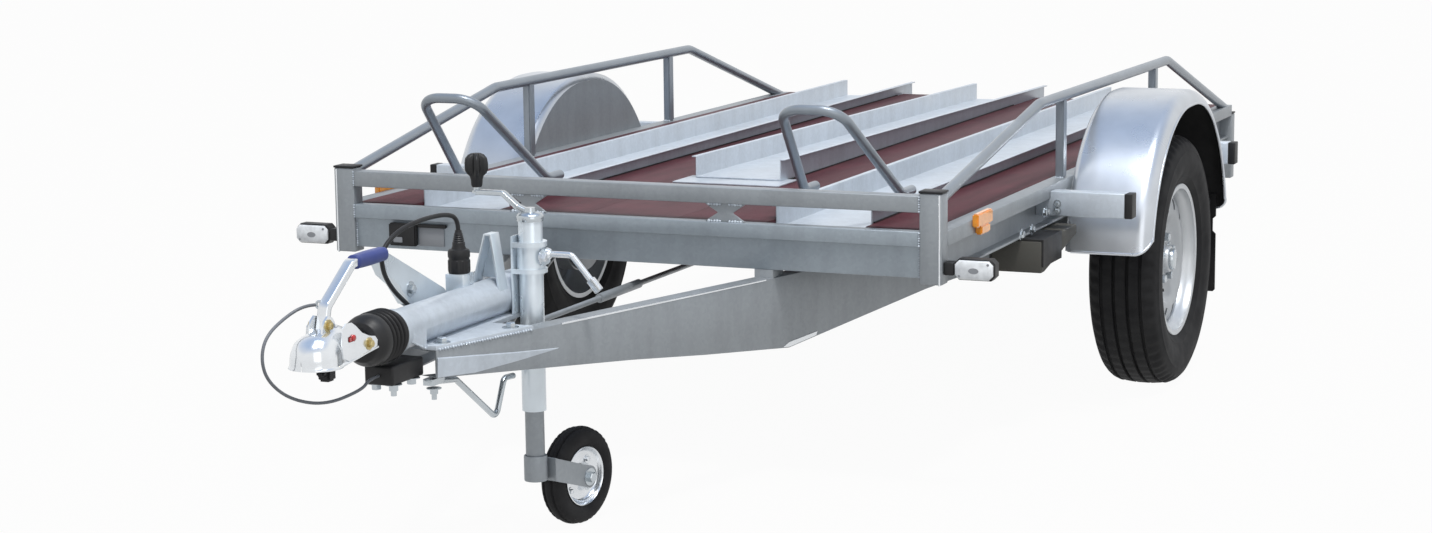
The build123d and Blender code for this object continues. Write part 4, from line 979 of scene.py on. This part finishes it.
for sign, side in SIDES:
    bm = bmesh.new()
    upper = [(-944, 432, 0.3), (-850, 422, 0.3), (-740, 410, 0.3), (-629, 400, 0.3)]
    crease = [(-944, 430, 3.0), (-850, 420, 3.0), (-740, 408, 2.4), (-632, 399, 0.5)]
    lower = [(-944, 394.5, 0.5), (-850, 388, 0.5), (-740, 392, 0.4), (-640, 398, 0.3)]
    rows = [[bm.verts.new(on_beam(sign, *p)) for p in row] for row in (upper, crease, lower)]
    for p, q in zip(rows, rows[1:]):
        for k in range(3):
            bm.faces.new((p[k], p[k + 1], q[k + 1], q[k]))
    bm.faces.new([rows[0][0], rows[1][0], rows[2][0]])
    bmesh.ops.recalc_face_normals(bm, faces=bm.faces)
    # The facet takes the paler coat: painted sky light on the tilted tip.
    piece("beam_tip_" + side, bm, STEEL, (), 12, PALE_AND_LIT_ZINC)
    # Painted highlights: thin pieces in the polished coat where edges catch the light.
    bm = bmesh.new()
    outward = Vector((sign * cos(slant), -sin(slant), 0))
    add_sweep(bm, [on_beam(sign, y, 445.2, -1.9) for y in (-620, -14)], eased_rectangle(2.6, 1.9, 0.8),
              outward)
    corner = ((40, 292.0), (60, 289.8), (150, 300.8), (154, 309.0), (60, 300.0))
    add_plate(bm, [on_beam(sign, y, z, 0.1) for y, z in corner], outward, 0.7)
    add_tube(bm, [at(sign * 717, 0.8, z) for z in (451, 640)], 2.4, 12)
    piece("painted_highlight_strips_" + side, bm, STEEL, (), 30, POLISHED)
bm = bmesh.new()
add_plate(bm, [at(x, -613, z) for x, z in ((-26, 528), (26, 528), (14, 606), (2, 606))], (0, 1, 0), 2.5)
piece("cable_bracket_back", bm, PLATED, ["cable_bracket"], 30, TUBE)

# Box beside the blank plate, bolts and welds
bm = bmesh.new()
add_block(bm, at(-583, -6, 473), at(-514, 8.5, 524), 3)
add_block(bm, at(-514, 1, 516), at(-440, 8.5, 524), 2)
piece("junction_box", bm, PLASTIC)
bm = bmesh.new()
add_block(bm, at(-570, -8, 481), at(-547, -5.5, 493), 1)
piece("junction_box_clip", bm, "plate_grey")
bm = bmesh.new()
for sign in (1, -1):
    for y in (-1038, -972):
        add_bolt(bm, at(sign * 18, y, 398), (0, 0, -1), 17, 11)
add_bolt(bm, at(38, -924, 370), (0, 0, -1), 15, 10)
add_lathe(bm, [(0, 22), (5, 22), (5, 0)], at(38, -924, 370), (0, 0, -1), 16)
add_lathe(bm, [(0, 22), (5.5, 22), (5.5, 0)], at(18, -1038, 398), (0, 0, -1), 16)
piece("stop_bolts", bm, PLATED, sharp=30)
bm = bmesh.new()
for sign in (1, -1):
    for y, x in ((-910, 50), (-730, 100)):
        add_bolt(bm, at(sign * x, y, 454), UP, 17, 9)
    for y in (740, 760):
        add_bolt(bm, at(sign * HALF_WIDTH, y, 505), (sign, 0, 0), 13, 7)
    for z in (520, 503):
        add_bolt(bm, at(sign * 741, 789.8, z), (0, -1, 0), 10, 5)
    for y in (1175, 1205):
        for x in (662, 688):
            add_bolt(bm, at(sign * x, y, 423), UP, 15, 8)
    for y in (640, 560):
        add_bolt(bm, at(sign * HALF_WIDTH, y, 480), (sign, 0, 0), 14, 7)
piece("frame_bolts", bm, PLATED, sharp=30)
bm = bmesh.new()
for sign in (1, -1):
    for low, high in ((602, 637), (530, 562)):
        add_weld(bm, at(sign * 673, -0.5, low), at(sign * 673, -0.5, high), 2.4, 5)
    add_weld(bm, at(sign * 672, 8, 464), at(sign * 672, 8, 530), 2.4, 5)
    add_weld(bm, at(sign * 695, 41, 628), at(sign * 717, 41, 632), 3, 5)
    for y in RAILING_POSTS:
        add_weld(bm, at(sign * 695, y - 15.5, 563), at(sign * 717, y - 15.5, 563), 3, 5)
    for dx in (-123.17, 123.17):
        x = sign * CHANNEL_X + dx
        add_weld(bm, at(x, 268, 593.5), at(x, 328, 593.5), 3, 6)
    for x in (sign * 235 - 40, sign * 235 + 8):
        for z in (563.5, 600.5):
            add_weld(bm, at(x, 4.5, z), at(x + 32, 4.5, z), 3.8, 6)
    add_weld(bm, on_beam(sign, -940, 446.5, 0.5), on_beam(sign, -700, 446.5, 0.5), 3, 7)
add_weld(bm, at(36, -1000, 471), at(37, -948, 449), 3, 6)
piece("weld_beads", bm, STEEL, sharp=60, coat=PALE_AND_LIT_ZINC)


# Floor, light and world
def plainly_seen(owner, share):
    """The share for camera, glossy and transmission rays, and none for the rays that light the object."""
    rays, value = node(owner, "LightPath"), None
    for kind in ("Is Camera Ray", "Is Glossy Ray", "Is Transmission Ray"):
        step = node(owner, "Math")
        step.operation = "MULTIPLY_ADD"
        link(owner, rays.outputs[kind], step.inputs[0])
        step.inputs[1].default_value, step.inputs[2].default_value = share, 0.0
        if value:
            link(owner, value, step.inputs[2])
        value = step.outputs[0]
    step.use_clamp = True
    return value


def two_looks(owner, output, dull, seen, share):
    """Shows dull to the rays that light the object, and seen to the others."""
    blend = node(owner, "MixShader")
    link(owner, plainly_seen(owner, share), blend.inputs["Fac"])
    link(owner, dull.outputs[0], blend.inputs[1])
    link(owner, seen.outputs[0], blend.inputs[2])
    link(owner, blend.outputs[0], node(owner, output).inputs["Surface"])


floor = bpy.data.objects.new("floor", bpy.data.meshes.new("floor"))
bm = bmesh.new()
bmesh.ops.create_grid(bm, x_segments=1, y_segments=1, size=60)
bm.to_mesh(floor.data)
bm.free()
show(floor)
ground = bpy.data.materials.new("floor")
ground.use_nodes = True
ground.node_tree.nodes.clear()
pale, glow = node(ground, "BsdfDiffuse", Color=(0.36, 0.35, 0.33, 1)), node(ground, "Emission", Strength=1.0)
two_looks(ground, "OutputMaterial", pale, glow, 0.96)
floor.data.materials.append(ground)

world = bpy.data.worlds.new("world")
scene.world = world
world.use_nodes = True
world.node_tree.nodes.clear()
backdrop, sky = node(world, "Background"), node(world, "Background", Color=(0.86, 0.92, 1.0, 1),
                                                Strength=0.66)
place, split = node(world, "TexCoord"), node(world, "SeparateXYZ")
link(world, place.outputs["Generated"], split.inputs[0])
heights = [(0.50, (1, 1, 1)), (0.90, (0.34, 0.48, 0.74))]
link(world, ramp(world, split.outputs["Z"], heights), backdrop.inputs["Color"])
two_looks(world, "OutputWorld", sky, backdrop, 1.0)


def area_light(name, place, target, size, power, color=(1, 1, 1)):
    data = bpy.data.lights.new(name, "AREA")
    data.energy, data.size, data.color = power, size, color
    obj = bpy.data.objects.new(name, data)
    obj.location = place
    obj.rotation_euler = (Vector(target) - Vector(place)).to_track_quat("-Z", "Y").to_euler()
    show(obj)


sun = bpy.data.lights.new("sun", "SUN")
sun.energy, sun.angle, sun.color = 1.8, radians(8), (1.0, 0.98, 0.94)
sun_object = bpy.data.objects.new("sun", sun)
sun_object.rotation_euler = Vector((-0.24, 0.27, -1.0)).to_track_quat("-Z", "Y").to_euler()
show(sun_object)
area_light("fill", (5, -6, 2.5), (0, 0, 0.5), 4, 50)
area_light("soft", (1.3, -1.5, 4.4), (0.5, 0.0, 0.5), 3, 70)

scene.view_settings.view_transform = "Standard"
